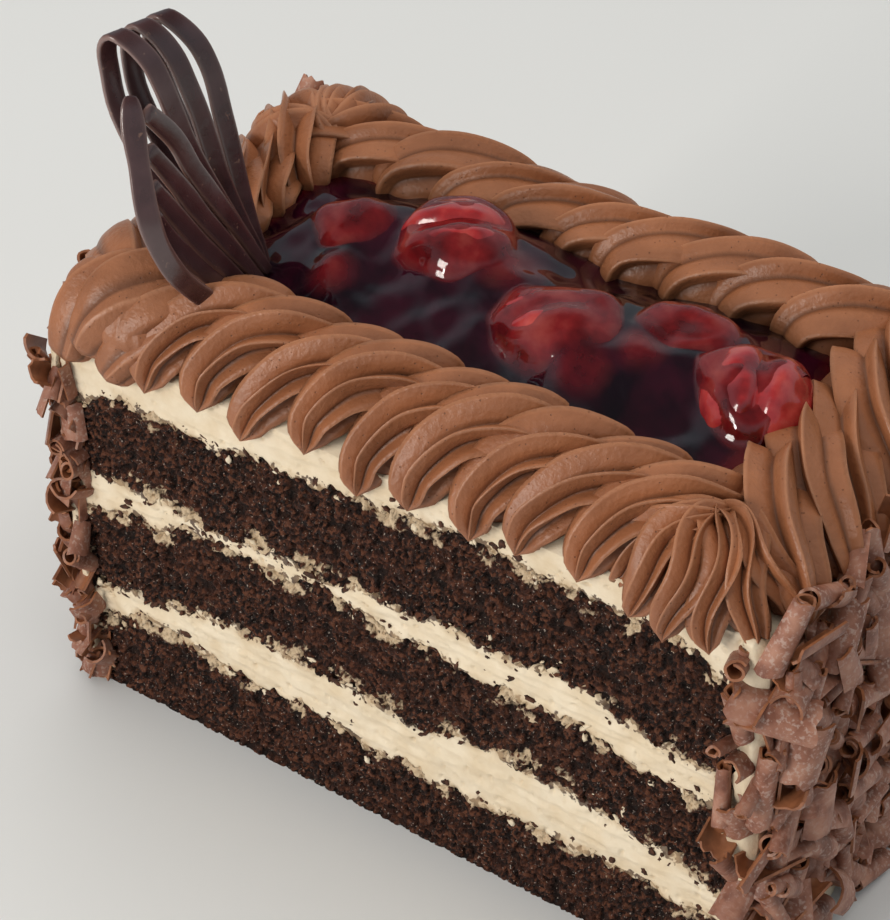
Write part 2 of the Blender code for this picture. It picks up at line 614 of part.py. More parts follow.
def coated_end(name, side, thick, seed, placed, group, cutters, material):
    """A cream coat on one end with the curls pressed into it, as one solid."""
    draw = random.Random(seed)
    face = side * LENGTH / 2
    bm = bmesh.new()
    bmesh.ops.create_cube(bm, size=1.0)
    size = Matrix.Diagonal((thick - GAP / 2, DEPTH, CAKE_TOP, 1.0))
    middle = Vector((face - side * (thick - GAP / 2) / 2, 0, CAKE_TOP / 2))
    bmesh.ops.transform(bm, matrix=Matrix.Translation(middle) @ size, verts=bm.verts)
    pieces = [new_object(name, bm, group)]
    for place, axis, length, radius in placed:
        pieces.append(curl(Vector(place), Vector(axis).normalized(), length, radius, group))
    for row in range(CURL_ROWS):
        for column in range(CURL_COLUMNS):
            radius = draw.uniform(*CURL_RADIUS)
            y = (column / (CURL_COLUMNS - 1) - 0.5) * (DEPTH - CURL_INSET)
            y += CURL_STAGGER * (row % 2 - 0.5) + draw.uniform(-CURL_SCATTER, CURL_SCATTER)
            level = (row + draw.uniform(-CURL_ROW_SCATTER, CURL_ROW_SCATTER)) / (CURL_ROWS - 1)
            z = CURL_LOWEST + level * (CURL_CEILING - 2 * CURL_LOWEST)
            tilt = draw.uniform(0, math.pi)
            lift = draw.uniform(-CURL_TIP, CURL_TIP)
            axis = Vector((lift, math.cos(tilt), math.sin(tilt))).normalized()
            length = draw.uniform(*CURL_LENGTH)
            x = face + side * draw.uniform(*CURL_LIFT)
            half_height = abs(axis.z) * length / 2 + radius + GAP
            z = min(max(z, half_height), CURL_CEILING - half_height)
            span = (DEPTH - radius - abs(axis.y) * length) / 2 + CURL_OVERHANG
            y = min(max(y, -span), span)
            pieces.append(curl(Vector((x, y, z)), axis, length, radius, group))
    end = join(name, pieces, group, material)
    trim = CURL_LENGTH[1]
    inner = Vector((face - side * (thick - GAP / 2 + trim / 2), 0, CAKE_TOP / 2))
    cut_away(end, inner, (trim, DEPTH + 2 * GAP, CAKE_TOP + trim), cutters)
    return end


def build():
    """Builds the slice."""
    clear_scene()
    cake = new_collection("black_forest_slice")
    cutters = new_collection("cutters")
    sponge = new_material("sponge", SPONGE_COLOUR, SPONGE_ROUGHNESS)
    cream = new_material("whipped_cream", CREAM_COLOUR, CREAM_ROUGHNESS)
    buttercream = new_material("buttercream", BUTTERCREAM_COLOUR, BUTTERCREAM_ROUGHNESS)
    chocolate = new_material("chocolate_curls", CURL_COLOUR, CURL_ROUGHNESS)
    gel = new_material("cherry_gel", GEL_COLOUR, GEL_ROUGHNESS)
    fruit = new_material("cherry", CHERRY_COLOUR, CHERRY_ROUGHNESS)
    dark = new_material("dark_chocolate", FAN_COLOUR, FAN_ROUGHNESS)
    layer("sponge_bottom", None, SPONGE_1_TOP, SPONGE_PITS, SPONGE_ROWS, cake, sponge)
    layer("cream_lower", SPONGE_1_TOP, SPONGE_2_BASE, CREAM_SMEARS, 1, cake, cream)
    layer("sponge_middle", SPONGE_2_BASE, SPONGE_2_TOP, SPONGE_PITS, SPONGE_ROWS, cake, sponge)
    layer("cream_upper", SPONGE_2_TOP, SPONGE_3_BASE, CREAM_SMEARS, 1, cake, cream)
    layer("sponge_top", SPONGE_3_BASE, SPONGE_3_TOP, SPONGE_PITS, SPONGE_ROWS, cake, sponge)
    layer("cream_top", SPONGE_3_TOP, None, CREAM_SMEARS, 1, cake, cream)
    coated_end("coat_left", -1, COAT_LEFT, CURL_SEED, (), cake, cutters, chocolate)
    coated_end("coat_right", 1, COAT_RIGHT, CURL_SEED + 1, CORNER_CURLS, cake, cutters, chocolate)
    ring = border(cake, cutters, buttercream)
    cut_sockets(ring, [len(CHERRIES) - 1], cutters, fruit)
    filling = pool(cake, gel)
    cut_sockets(filling, range(len(CHERRIES)), cutters, fruit)
    for index in range(len(CHERRIES)):
        cherry(index, cake, fruit)
    for middle, size in FAN_SLOTS:
        cut_away(filling, fan_point(*middle), size, cutters, -FAN_LEAN)
    back_tier(cake, dark)
    front_tier(cake, dark)


build()
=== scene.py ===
import math
import random

import bpy
import bmesh
from mathutils import Matrix, Vector, noise


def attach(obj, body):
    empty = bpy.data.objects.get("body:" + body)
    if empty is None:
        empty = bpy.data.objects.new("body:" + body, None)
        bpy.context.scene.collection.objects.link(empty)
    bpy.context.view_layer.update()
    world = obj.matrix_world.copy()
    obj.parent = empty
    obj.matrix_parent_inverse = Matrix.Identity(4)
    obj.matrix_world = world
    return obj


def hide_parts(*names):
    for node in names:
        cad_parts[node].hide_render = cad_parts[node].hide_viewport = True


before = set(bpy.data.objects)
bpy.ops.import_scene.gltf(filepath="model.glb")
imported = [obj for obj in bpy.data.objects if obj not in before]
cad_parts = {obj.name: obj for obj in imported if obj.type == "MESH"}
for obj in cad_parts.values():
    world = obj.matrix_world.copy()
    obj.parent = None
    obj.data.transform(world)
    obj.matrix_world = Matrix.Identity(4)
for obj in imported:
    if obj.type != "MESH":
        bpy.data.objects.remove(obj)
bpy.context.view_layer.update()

# Sponges
# Three sponges baked from a dark cocoa batter and cut level. The knife tore their open crumb on
# both long sides, so those faces are pitted and the edges towards the cream are ragged.
LENGTH = 0.126
DEPTH = 0.068
CAKE_TOP = 0.0721
GAP = 0.0003
COAT_LEFT = 0.0020
COAT_RIGHT = 0.0035
SPONGE_1_TOP = (0.0150, 0.0185, 0.0164, 0.0162, 0.0148, 0.0140, 0.0153, 0.0146, 0.0139)
SPONGE_2_BASE = (0.0205, 0.0238, 0.0264, 0.0258, 0.0242, 0.0270, 0.0258, 0.0233, 0.0200)
SPONGE_2_TOP = (0.0375, 0.0410, 0.0434, 0.0440, 0.0425, 0.0410, 0.0405, 0.0375, 0.0389)
SPONGE_3_BASE = (0.0465, 0.0462, 0.0452, 0.0462, 0.0477, 0.0483, 0.0485, 0.0452, 0.0440)
SPONGE_3_TOP = (0.0600, 0.0635, 0.0632, 0.0638, 0.0660, 0.0675, 0.0670, 0.0665, 0.0610)
CRUMB_STEP = 0.0012
CRUMB_WAVE = 0.0045
RAGS = ((0.0034, 0.0018), (0.0014, 0.0011), (0.0006, 0.0004))
SPONGE_COLUMNS = 500
SPONGE_ROWS = 62
PORES = ((0.0026, 0.14, 0.0024), (0.0011, 0.10, 0.0028), (0.0006, 0.06, 0.0022))
PORE_SWELL = 0.25
PORE_START = 0.00025
PORE_FLOOR = 0.0014
RIM_DEPTH = 0.3
TORN_BACK = 7.3
EDGE_REACH = {"sponge": 0.0062, "cream": 0.0040}
END_MARGIN = 0.001
CRUMB_TONES = ((0.42, (0.0080, 0.0024, 0.0013)), (0.50, (0.036, 0.0095, 0.0042)),
               (0.58, (0.112, 0.038, 0.018)))
CRUMB_WARM = (0.060, 0.0165, 0.0070)
# painted shade of the holes between crumbs
HOLE_SHADE = (0.0050, 0.0020, 0.0014)
# painted shade in the deepest pits
PIT_SHADE = (0.0060, 0.0022, 0.0014)
CREAM_SMEAR = (0.66, 0.50, 0.33)
# painted glints
PAINTED_GLINT = (0.40, 0.33, 0.28)


def plug(tree, socket, value):
    """Links one socket to another, or gives it a number or a colour of its own."""
    if isinstance(value, bpy.types.NodeSocket):
        tree.links.new(value, socket)
    else:
        socket.default_value = (*value, 1.0) if isinstance(value, tuple) else value


def node(tree, kind, settings=None, **inputs):
    """A shader node with its settings and inputs."""
    made = tree.nodes.new("ShaderNode" + kind)
    for key, value in (settings or {}).items():
        setattr(made, key, value)
    for key, value in inputs.items():
        plug(tree, made.inputs[key.replace("_", " ")], value)
    return made


def pattern(tree, size, detail=3.0, kind="Noise"):
    """A solid pattern whose features are about as large as size, in metres."""
    place = node(tree, "TexCoord").outputs["Object"]
    if kind == "Noise":
        return node(tree, "TexNoise", Vector=place, Scale=1 / size, Detail=detail).outputs["Fac"]
    return node(tree, "TexVoronoi", Vector=place, Scale=1 / size).outputs["Distance"]


def ramp(tree, factor, *stops):
    """A colour ramp through (position, colour) stops; a number stands for a grey."""
    made = node(tree, "ValToRGB", Fac=factor)
    while len(made.color_ramp.elements) < len(stops):
        made.color_ramp.elements.new(1.0)
    for element, (position, colour) in zip(made.color_ramp.elements, stops):
        element.position = position
        element.color = (*colour, 1.0) if isinstance(colour, tuple) else (colour, colour, colour, 1.0)
    return made.outputs["Color"]


def mixed(tree, factor, first, second):
    """One colour over another."""
    made = node(tree, "Mix", {"data_type": "RGBA"})
    plug(tree, made.inputs[0], factor)
    plug(tree, made.inputs[6], first)
    plug(tree, made.inputs[7], second)
    return made.outputs[2]


def maths(tree, operation, first, second, clamp=True):
    """One sum of two numbers or sockets, kept between 0 and 1 unless told otherwise."""
    made = node(tree, "Math", {"operation": operation, "use_clamp": clamp})
    plug(tree, made.inputs[0], first)
    plug(tree, made.inputs[1], second)
    return made.outputs[0]


def painted(tree, name):
    """A value that the mesh carries at its points."""
    return node(tree, "Attribute", {"attribute_name": name}).outputs["Fac"]


def bumped(tree, height, strength, distance):
    """A normal from a height pattern."""
    return node(tree, "Bump", Height=height, Strength=strength, Distance=distance).outputs["Normal"]


def material(name):
    """A Principled material, its tree and its shader."""
    made = bpy.data.materials.new(name)
    made.use_nodes = True
    return made, made.node_tree, made.node_tree.nodes["Principled BSDF"]


def coat_shader(tree, shader, **inputs):
    """Sets the shader's own sockets, or links what a pattern drives."""
    for key, value in inputs.items():
        plug(tree, shader.inputs[key.replace("_", " ")], value)


def piece(name, bm, finishes, nodes, sharp=math.pi):
    """A piece of the cake from a finished bmesh, riding on the body and standing for its nodes."""
    mesh = bpy.data.meshes.new(name)
    bm.to_mesh(mesh)
    bm.free()
    mesh.shade_smooth()
    if sharp < math.pi:
        mesh.set_sharp_from_angle(angle=sharp)
    for finish in finishes:
        mesh.materials.append(finish)
    thing = bpy.data.objects.new(name, mesh)
    bpy.context.scene.collection.objects.link(thing)
    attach(thing, "root")
    if nodes:
        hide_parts(*nodes)


def add_part(bm, part):
    """Adds a finished part to a growing mesh, with the values its points carry."""
    mesh = bpy.data.meshes.new("part")
    part.to_mesh(mesh)
    part.free()
    bm.from_mesh(mesh)
    bpy.data.meshes.remove(mesh)


def boundary(heights, x):
    """Height of a layer boundary at x: eased between its stations, with a crumbly step."""
    place = (x / LENGTH + 0.5) * (len(heights) - 1)
    i = min(max(int(place), 0), len(heights) - 2)
    ease = 0.5 - 0.5 * math.cos(math.pi * min(max(place - i, 0.0), 1.0))
    crumb = noise.noise(Vector((x / CRUMB_WAVE, heights[0] * 2 / CRUMB_STEP, 0.5)))
    return heights[i] * (1 - ease) + heights[i + 1] * ease + crumb * CRUMB_STEP


def rags(heights, x, side):
    """How far the torn edge strays from the boundary at x on one side."""
    if heights is None:
        return 0.0
    return sum(noise.noise(Vector((x / wave, heights[0] * 900, side * TORN_BACK))) * step
               for wave, step in RAGS)


def cut_layer(name, low, high, columns, rows, relief, finish, slot):
    """One layer: a fine grid for the front cut, drawn through to the back cut, then torn."""
    left = -LENGTH / 2 + COAT_LEFT + GAP / 2
    right = LENGTH / 2 - COAT_RIGHT - GAP / 2
    bm = bmesh.new()
    bmesh.ops.create_grid(bm, x_segments=columns, y_segments=rows, size=0.5)
    back = bmesh.ops.extrude_face_region(bm, geom=bm.faces[:])["geom"]
    for item in back:
        if isinstance(item, bmesh.types.BMVert):
            item.co.z = 1.0
    pit_layer = bm.verts.layers.float.new("pit")
    edge_layer = bm.verts.layers.float.new("edge")
    for vert in bm.verts:
        across, up, side = vert.co.x + 0.5, vert.co.y + 0.5, vert.co.z
        x = left + across * (right - left)
        base = boundary(low, x) if low else 0.0
        top = boundary(high, x) if high else CAKE_TOP
        z = base + up * (top - base) + rags(low, x, side) * (1 - up) ** 3 + rags(high, x, side) * up ** 3
        near_end = min(x - left, right - x) + END_MARGIN
        near = min(z - base if low else 1.0, top - z if high else 1.0, near_end)
        depth = relief(x, z, side)
        on_rim = (low is None and up < 0.01) or (high is None and up > 0.99)
        vert[pit_layer] = min(max(depth / PORE_FLOOR, 0.0), 1.0)
        vert[edge_layer] = min(max(1.0 - near / EDGE_REACH[slot], 0.0), 1.0)
        depth *= RIM_DEPTH if on_rim else 1.0
        vert.co = (x, (DEPTH / 2 - depth) * (1 if side else -1), max(z, 0.0))
    bmesh.ops.recalc_face_normals(bm, faces=bm.faces)
    piece(name + "_cut", bm, [finish], [name])


def sponge_relief(x, z, side):
    """Depth of the torn crumb below the knife's plane."""
    depth = PORE_START
    for size, level, deep in PORES:
        value = noise.noise(Vector((x / size, side * TORN_BACK, z / size)))
        depth += max(value - level, 0.0) * deep
        depth += min(value + level, 0.0) * deep * PORE_SWELL
    return min(max(depth, 0.0), PORE_FLOOR)


crumb, tree, shader = material("dark_sponge_crumb")
brown = ramp(tree, pattern(tree, 0.0008, 5.0), *CRUMB_TONES)
# Near-black patches in the crumb: painted shade in the holes between crumbs.
hole_shade = ramp(tree, pattern(tree, 0.0015, 3.0), (0.34, 0.85), (0.41, 0.0))
brown = mixed(tree, hole_shade, brown, HOLE_SHADE)
patches = ramp(tree, pattern(tree, 0.005, 3.0), (0.40, 0.0), (0.65, 0.45))
brown = mixed(tree, patches, brown, CRUMB_WARM)
# Darker where the torn crumb sinks deepest: painted shade in the pits.
pit_shade = ramp(tree, painted(tree, "pit"), (0.25, 0.0), (0.80, 0.85))
brown = mixed(tree, pit_shade, brown, PIT_SHADE)
smear = ramp(tree, pattern(tree, 0.0050, 3.0), (0.46, 0.15), (0.62, 1.0))
smear = maths(tree, "MULTIPLY", painted(tree, "edge"), smear)
smear = maths(tree, "MULTIPLY", smear, maths(tree, "ADD", pattern(tree, 0.0010, 6.0), 0.12))
smear = ramp(tree, smear, (0.27, 0.0), (0.37, 0.92))
brown = mixed(tree, smear, brown, CREAM_SMEAR)
# Sparse pale specks in the colour: painted glints of light on the moist crumb.
glints = ramp(tree, pattern(tree, 0.00045, 2.0), (0.67, 0.0), (0.72, 0.8))
brown = mixed(tree, glints, brown, PAINTED_GLINT)
wet = ramp(tree, pattern(tree, 0.00050, 2.0), (0.60, 0.75), (0.68, 0.12))
coat_shader(tree, shader, Base_Color=brown, Roughness=wet, Specular_IOR_Level=0.25,
            Normal=bumped(tree, pattern(tree, 0.0005, 5.0), 0.9, 0.0006))
for name, low, high in (("sponge_bottom", None, SPONGE_1_TOP),
                        ("sponge_middle", SPONGE_2_BASE, SPONGE_2_TOP),
                        ("sponge_top", SPONGE_3_BASE, SPONGE_3_TOP)):
    cut_layer(name, low, high, SPONGE_COLUMNS, SPONGE_ROWS, sponge_relief, crumb, "sponge")

# Cream fillings
# Whipped cream spread between the sponges and over the top one. The knife dragged it sideways,
# so it shows soft streaks, small air holes and dark crumbs carried over from the sponge.
CREAM_COLUMNS = 380
CREAM_ROWS = 24
CREAM_STREAK = 0.0004
STREAK_SIZE = (0.007, 0.0010)
SWELL_SIZE = (0.004, 0.003)
AIR_HOLE_SIZE = (0.0011, 0.0009)
AIR_HOLE_DEPTH = 0.0028
AIR_HOLE_LEVEL = 0.42
CREAM_SET_BACK = 0.0003
CREAM_PROUD = 0.0002
CREAM_TONES = ((0.30, (0.67, 0.535, 0.365)), (0.65, (0.76, 0.645, 0.485)))
CREAM_CRUMB = (0.055, 0.022, 0.012)
CREAM_STAIN = (0.46, 0.31, 0.17)


def cream_relief(x, z, side):
    """Depth of the dragged cream: long streaks, a few air holes, a soft swell."""
    streak, swell, hole = (
        noise.noise(Vector((x / wide, side * TORN_BACK + shift, z / high)))
        for (wide, high), shift in ((STREAK_SIZE, 0), (SWELL_SIZE, 3), (AIR_HOLE_SIZE, 5)))
    depth = CREAM_SET_BACK + CREAM_STREAK * streak * 0.7 + CREAM_STREAK * swell
    return max(depth + max(hole - AIR_HOLE_LEVEL, 0.0) * AIR_HOLE_DEPTH, -CREAM_PROUD)


cream, tree, shader = material("whipped_cream")
white = ramp(tree, pattern(tree, 0.004, 3.0), *CREAM_TONES)
specks = maths(tree, "MULTIPLY", painted(tree, "edge"), pattern(tree, 0.0011, 4.0))
specks = ramp(tree, specks, (0.44, 0.0), (0.49, 0.92))
white = mixed(tree, specks, white, CREAM_CRUMB)
stains = maths(tree, "MULTIPLY", painted(tree, "edge"), pattern(tree, 0.003, 3.0))
stains = ramp(tree, stains, (0.36, 0.0), (0.60, 0.65))
white = mixed(tree, stains, white, CREAM_STAIN)
coat_shader(tree, shader, Base_Color=white, Roughness=0.50, Specular_IOR_Level=0.4,
            Normal=bumped(tree, pattern(tree, 0.0007, 4.0), 0.35, 0.0003))
for name, low, high in (("cream_lower", SPONGE_1_TOP, SPONGE_2_BASE),
                        ("cream_upper", SPONGE_2_TOP, SPONGE_3_BASE),
                        ("cream_top", SPONGE_3_TOP, None)):
    cut_layer(name, low, high, CREAM_COLUMNS, CREAM_ROWS, cream_relief, cream, "cream")

# Loose crumbs
# The knife left crumbs of sponge on the cream and flecks of cream on the sponge, mostly along
# the edges where they meet. Each lies pressed flat against the cut face.
CRUMB_COUNT = 420
FLECK_COUNT = 110
CRUMB_SIZE = (0.0002, 0.0006)
CRUMB_REACH = (-0.0600, 0.0585)
CRUMB_STRAY = 0.0014
CRUMB_BITE = 0.0003
CRUMB_BEHIND = (0.0003, 0.0006)
CRUMB_ROUGHNESS = 0.8
FRONT_SHARE = 0.6
CRUMB_SEED = 41
LOOSE_TONES = ((0.3, (0.018, 0.006, 0.003)), (0.7, (0.095, 0.034, 0.017)))


def scatter(name, count, drift, finish, draw):
    """Small lumps pressed against both cut faces near the layer boundaries."""
    bm = bmesh.new()
    lines = (SPONGE_1_TOP, SPONGE_2_BASE, SPONGE_2_TOP, SPONGE_3_BASE, SPONGE_3_TOP)
    for k in range(count):
        line = k % len(lines)
        x = draw.uniform(*CRUMB_REACH)
        away = abs(draw.gauss(0.0, CRUMB_STRAY)) - CRUMB_BITE
        into_cream = 1 if line % 2 == 0 else -1
        z = boundary(lines[line], x) + away * into_cream * drift
        side = -1 if draw.random() < FRONT_SHARE else 1
        y = side * (DEPTH / 2 - draw.uniform(*CRUMB_BEHIND))
        part = bmesh.new()
        bmesh.ops.create_icosphere(part, subdivisions=2, radius=1.0)
        radius = draw.uniform(*CRUMB_SIZE)
        spot = Vector((k * 1.7, line, k * 0.3))
        for vert in part.verts:
            vert.co *= radius * (1 + CRUMB_ROUGHNESS * noise.noise(vert.co * 1.6 + spot))
        size = (draw.uniform(0.8, 2.2), draw.uniform(0.5, 0.8), draw.uniform(0.6, 1.2), 1)
        turn = Matrix.Rotation(draw.uniform(0, math.tau), 4, "Y")
        part.transform(Matrix.Translation((x, y, z)) @ turn @ Matrix.Diagonal(size))
        add_part(bm, part)
    piece(name, bm, [finish], ())


bits, tree, shader = material("sponge_crumbs")
coat_shader(tree, shader, Base_Color=ramp(tree, pattern(tree, 0.0008), *LOOSE_TONES), Roughness=0.7,
            Specular_IOR_Level=0.3, Normal=bumped(tree, pattern(tree, 0.0003), 0.6, 0.0002))
fall = random.Random(CRUMB_SEED)
scatter("crumbs_on_cream", CRUMB_COUNT, 1.0, bits, fall)
scatter("cream_flecks", FLECK_COUNT, -1.0, cream, fall)

# Coated ends
# Each end is spread with whipped cream and pressed with curls shaved from a block of milk
# chocolate: short rolls and broken shavings, dusty outside and glossier where they are cut.
COATS = {-1: "coat_left", 1: "coat_right"}
CURL_ROWS = 9
CURL_COLUMNS = 5
CURL_RADIUS = (0.0024, 0.0036)
CURL_LENGTH = (0.0090, 0.0160)
CURL_LIFT = (0.0006, 0.0024)
CURL_SCATTER = 0.0030
CURL_INSET = 0.0060
CURL_OVERHANG = 0.0018
CURL_STAGGER = 0.0050
CURL_LOWEST = 0.0035
CURL_CEILING = 0.0683
CURL_SEED = 27
CURL_TILT = 0.25
CURL_FIT = 0.92
CURL_FOOT = 0.001
CURL_CLEAR = 0.0001
CURL_BURIED = 0.0012
RIM_MARGIN = 0.001
CURL_WALL = 0.00042
CURL_TAPER = (0.74, 1.0)
CURL_WINDING = 0.30
CURL_TEAR = 0.22
OPEN_SIZE = 1.8
SINK = {-1: 0.0023, 1: 0.0}
CURL_TURNS = {-1: (0.28, 0.36, 0.50, 1.2), 1: (0.3, 0.45, 1.2, 1.5)}
SMALL_CURLS = {-1: 290, 1: 230}
SMALL_SIZE = {-1: (0.0011, 0.0019), 1: (0.0012, 0.0025)}
SMALL_LENGTH = (0.0050, 0.0110)
SMALL_BAND = (-0.0330, 0.0330)
SMALL_OUT = (0.0008, 0.0042)
EVEN_STEP = 0.6180
EVEN_STRAY = 0.0015
RIM_CURLS = {-1: 46, 1: 20}
RIM_SIZE = {-1: (0.0012, 0.0021), 1: (0.0010, 0.0020)}
RIM_LENGTH = {-1: (0.0040, 0.0070), 1: (0.0050, 0.0100)}
RIM_BAND = (-0.0355, -0.0335)
RIM_IN = 0.0045
RIM_REACH = {-1: ((0.040, 0.066, -0.0020), (0.001, 0.040, 0.0016)), 1: ((0.001, 0.068, 0.0005),)}
TOP_CURLS = 22
TOP_SIZE = (0.0013, 0.0023)
TOP_LENGTH = (0.0050, 0.0100)
TOP_BAND = (-0.0300, 0.0330)
TOP_OUT = (0.0015, 0.0045)
TOP_HEIGHT = (0.0660, 0.0765)
COAT_CUTS = 63
COAT_SWELL = 0.0009
COAT_RAGS = ((0.004, 0.0013), (0.0013, 0.0008))
COAT_ROUNDING = 0.005
COAT_PROUD = (0.0004, 0.0005)
BLOOM_TONES = ((0.35, (0.165, 0.058, 0.034)), (0.50, (0.265, 0.108, 0.068)), (0.70, (0.370, 0.180, 0.120)))
BLOOM_DUST = (0.46, 0.34, 0.29)
# the curls' inner sides: bare cut chocolate, its orange-brown partly a painted glow of light passing
# through
CUT_GLOW_TONES = ((0.30, (0.175, 0.060, 0.026)), (0.70, (0.330, 0.125, 0.055)))
PLACED_CURLS = (
    ((0.0638, -0.0336, 0.0602), (0.85, 0.45, -0.28), 0.0125, 0.0038, 0.55, 2.3),
    ((0.0642, -0.0340, 0.0460), (0.05, 0.05, 1.00), 0.0140, 0.0023, 1.2, 0.5),
    ((0.0655, -0.0300, 0.0340), (0.10, 0.15, 1.00), 0.0135, 0.0023, 1.3, 1.0),
    ((0.0652, -0.0190, 0.0285), (0.00, 0.25, 0.97), 0.0120, 0.0025, 1.3, 2.0),
    ((0.0650, -0.0214, 0.0414), (0.45, -0.60, 0.60), 0.0090, 0.0022, 1.4, 0.0),
    ((0.0590, -0.0330, 0.0672), (0.25, -0.93, 0.25), 0.0080, 0.0021, 1.2, 1.0),
    ((0.0648, -0.0320, 0.0738), (0.22, 0.31, 0.93), 0.0125, 0.0023, 1.3, 4.0),
    ((0.0662, -0.0235, 0.0750), (0.05, 0.88, -0.48), 0.0120, 0.0020, 1.2, 1.5),
    ((0.0660, -0.0098, 0.0660), (-0.16, -0.10, 1.00), 0.0220, 0.0029, 1.1, 2.6),
    ((0.0668, -0.0120, 0.0560), (0.00, 0.77, -0.64), 0.0140, 0.0022, 1.3, 0.6),
    ((0.0668, -0.0115, 0.0470), (0.00, 0.90, -0.42), 0.0135, 0.0022, 1.2, 3.0),
    ((0.0650, -0.0020, 0.0310), (0.95, -0.20, 0.20), 0.0060, 0.0021, 1.6, 0.0),
)


def scroll(bm, place, axis, length, radius, turns, phase, draw):
    """One shaving: a sheet rolled round its axis, with its wall, a little torn at the ends."""
    part = bmesh.new()
    bmesh.ops.create_grid(part, x_segments=max(8, int(16 * turns)), y_segments=5, size=0.5)
    taper = draw.uniform(*CURL_TAPER)
    tear = draw.uniform(0.0, 9.0)
    for vert in part.verts:
        u, v = vert.co.x + 0.5, vert.co.y
        angle = phase + u * turns * math.tau
        reach = radius * (1.0 - CURL_WINDING * u * min(turns, 1.2)) * (1 + (taper - 1) * (v + 0.5))
        ragged = 1 + CURL_TEAR * noise.noise(Vector((u * 6 + tear, tear, v * 1.5)))
        vert.co = (reach * math.cos(angle), reach * math.sin(angle), v * length * ragged)
    bmesh.ops.recalc_face_normals(part, faces=part.faces)
    bmesh.ops.solidify(part, geom=part.faces[:], thickness=CURL_WALL)
    # Faces that don't face outwards take the second finish: bare cut chocolate with a painted glow.
    for face in part.faces:
        middle = face.calc_center_median()
        outwards = Vector((middle.x, middle.y, 0)).normalized()
        face.material_index = 0 if face.normal.dot(outwards) > 0.5 else 1
    turn = Vector((0, 0, 1)).rotation_difference(axis).to_matrix().to_4x4()
    bmesh.ops.transform(part, matrix=Matrix.Translation(place) @ turn, verts=part.verts)
    add_part(bm, part)


def loose_curls(bm, side, count, out, band, heights, sizes, lengths, lean, draw):
    """Small rolls and open shavings, spread evenly over a box of the end."""
    x_low, x_high = sorted(side * (LENGTH / 2 + reach) for reach in out)
    y_low, y_high = band
    for k in range(count):
        radius = draw.uniform(*sizes)
        length = draw.uniform(*lengths)
        tilt = draw.uniform(0, math.pi)
        axis = Vector((draw.uniform(-lean, lean), math.cos(tilt), math.sin(tilt))).normalized()
        y = y_low + (y_high - y_low) * (k * EVEN_STEP % 1.0) + draw.uniform(-EVEN_STRAY, EVEN_STRAY)
        z = heights[0] + (heights[1] - heights[0]) * (k + 0.5) / count
        place = Vector((draw.uniform(x_low, x_high), min(max(y, y_low), y_high), z))
        place.z = max(place.z, abs(axis.z) * length / 2 + radius)
        turns = draw.choice(CURL_TURNS[side])
        radius *= OPEN_SIZE if turns < 1 else 1.0
        scroll(bm, place, axis, length, radius, turns, draw.uniform(0, math.tau), draw)


def shavings(name, side, seed, placed, finishes):
    """All the curls of one end, the large ones where the coat's relief has them."""
    bm = bmesh.new()
    draw = random.Random(seed)
    loose = random.Random(seed + 100)
    sink = SINK[side]
    for place, axis, length, radius, turns, phase in placed:
        scroll(bm, Vector(place), Vector(axis).normalized(), length, radius, turns, phase, loose)
    for row in range(CURL_ROWS):
        for column in range(CURL_COLUMNS):
            radius = draw.uniform(*CURL_RADIUS)
            y = (column / (CURL_COLUMNS - 1) - 0.5) * (DEPTH - CURL_INSET)
            y += CURL_STAGGER * (row % 2 - 0.5) + draw.uniform(-CURL_SCATTER, CURL_SCATTER)
            level = (row + draw.uniform(-0.25, 0.25)) / (CURL_ROWS - 1)
            z = CURL_LOWEST + level * (CURL_CEILING - 2 * CURL_LOWEST)
            tilt = draw.uniform(0, math.pi)
            lift = draw.uniform(-CURL_TILT, CURL_TILT)
            axis = Vector((lift, math.cos(tilt), math.sin(tilt))).normalized()
            length = draw.uniform(*CURL_LENGTH)
            x = side * LENGTH / 2 + side * (draw.uniform(*CURL_LIFT) - sink)
            half_height = abs(axis.z) * length / 2 + radius + GAP
            z = min(max(z, half_height), CURL_CEILING - half_height)
            span = (DEPTH - radius - abs(axis.y) * length) / 2 + CURL_OVERHANG
            y = min(max(y, -span), span)
            scroll(bm, Vector((x, y, z)), axis, length, radius * CURL_FIT, loose.uniform(0.8, 1.5),
                   loose.uniform(0, math.tau), loose)
    loose_curls(bm, side, SMALL_CURLS[side], (SMALL_OUT[0], SMALL_OUT[1] - sink), SMALL_BAND,
                (CURL_FOOT, CURL_CEILING), SMALL_SIZE[side], SMALL_LENGTH, 0.3, loose)
    for low, high, out in RIM_REACH[side]:
        loose_curls(bm, side, RIM_CURLS[side] // len(RIM_REACH[side]), (-RIM_IN, out), RIM_BAND,
                    (low, high), RIM_SIZE[side], RIM_LENGTH[side], 0.15, loose)
    loose_curls(bm, side, TOP_CURLS, [reach - sink for reach in TOP_OUT], TOP_BAND,
                TOP_HEIGHT, TOP_SIZE, TOP_LENGTH, 0.4, loose)
    deepest = LENGTH / 2 - CURL_BURIED
    for vert in bm.verts:
        if abs(vert.co.y) < DEPTH / 2 - RIM_MARGIN and vert.co.x * side < deepest:
            vert.co.x = side * deepest
        vert.co.z = max(vert.co.z, CURL_CLEAR)
    piece(name, bm, finishes, [COATS[side]], math.radians(40))


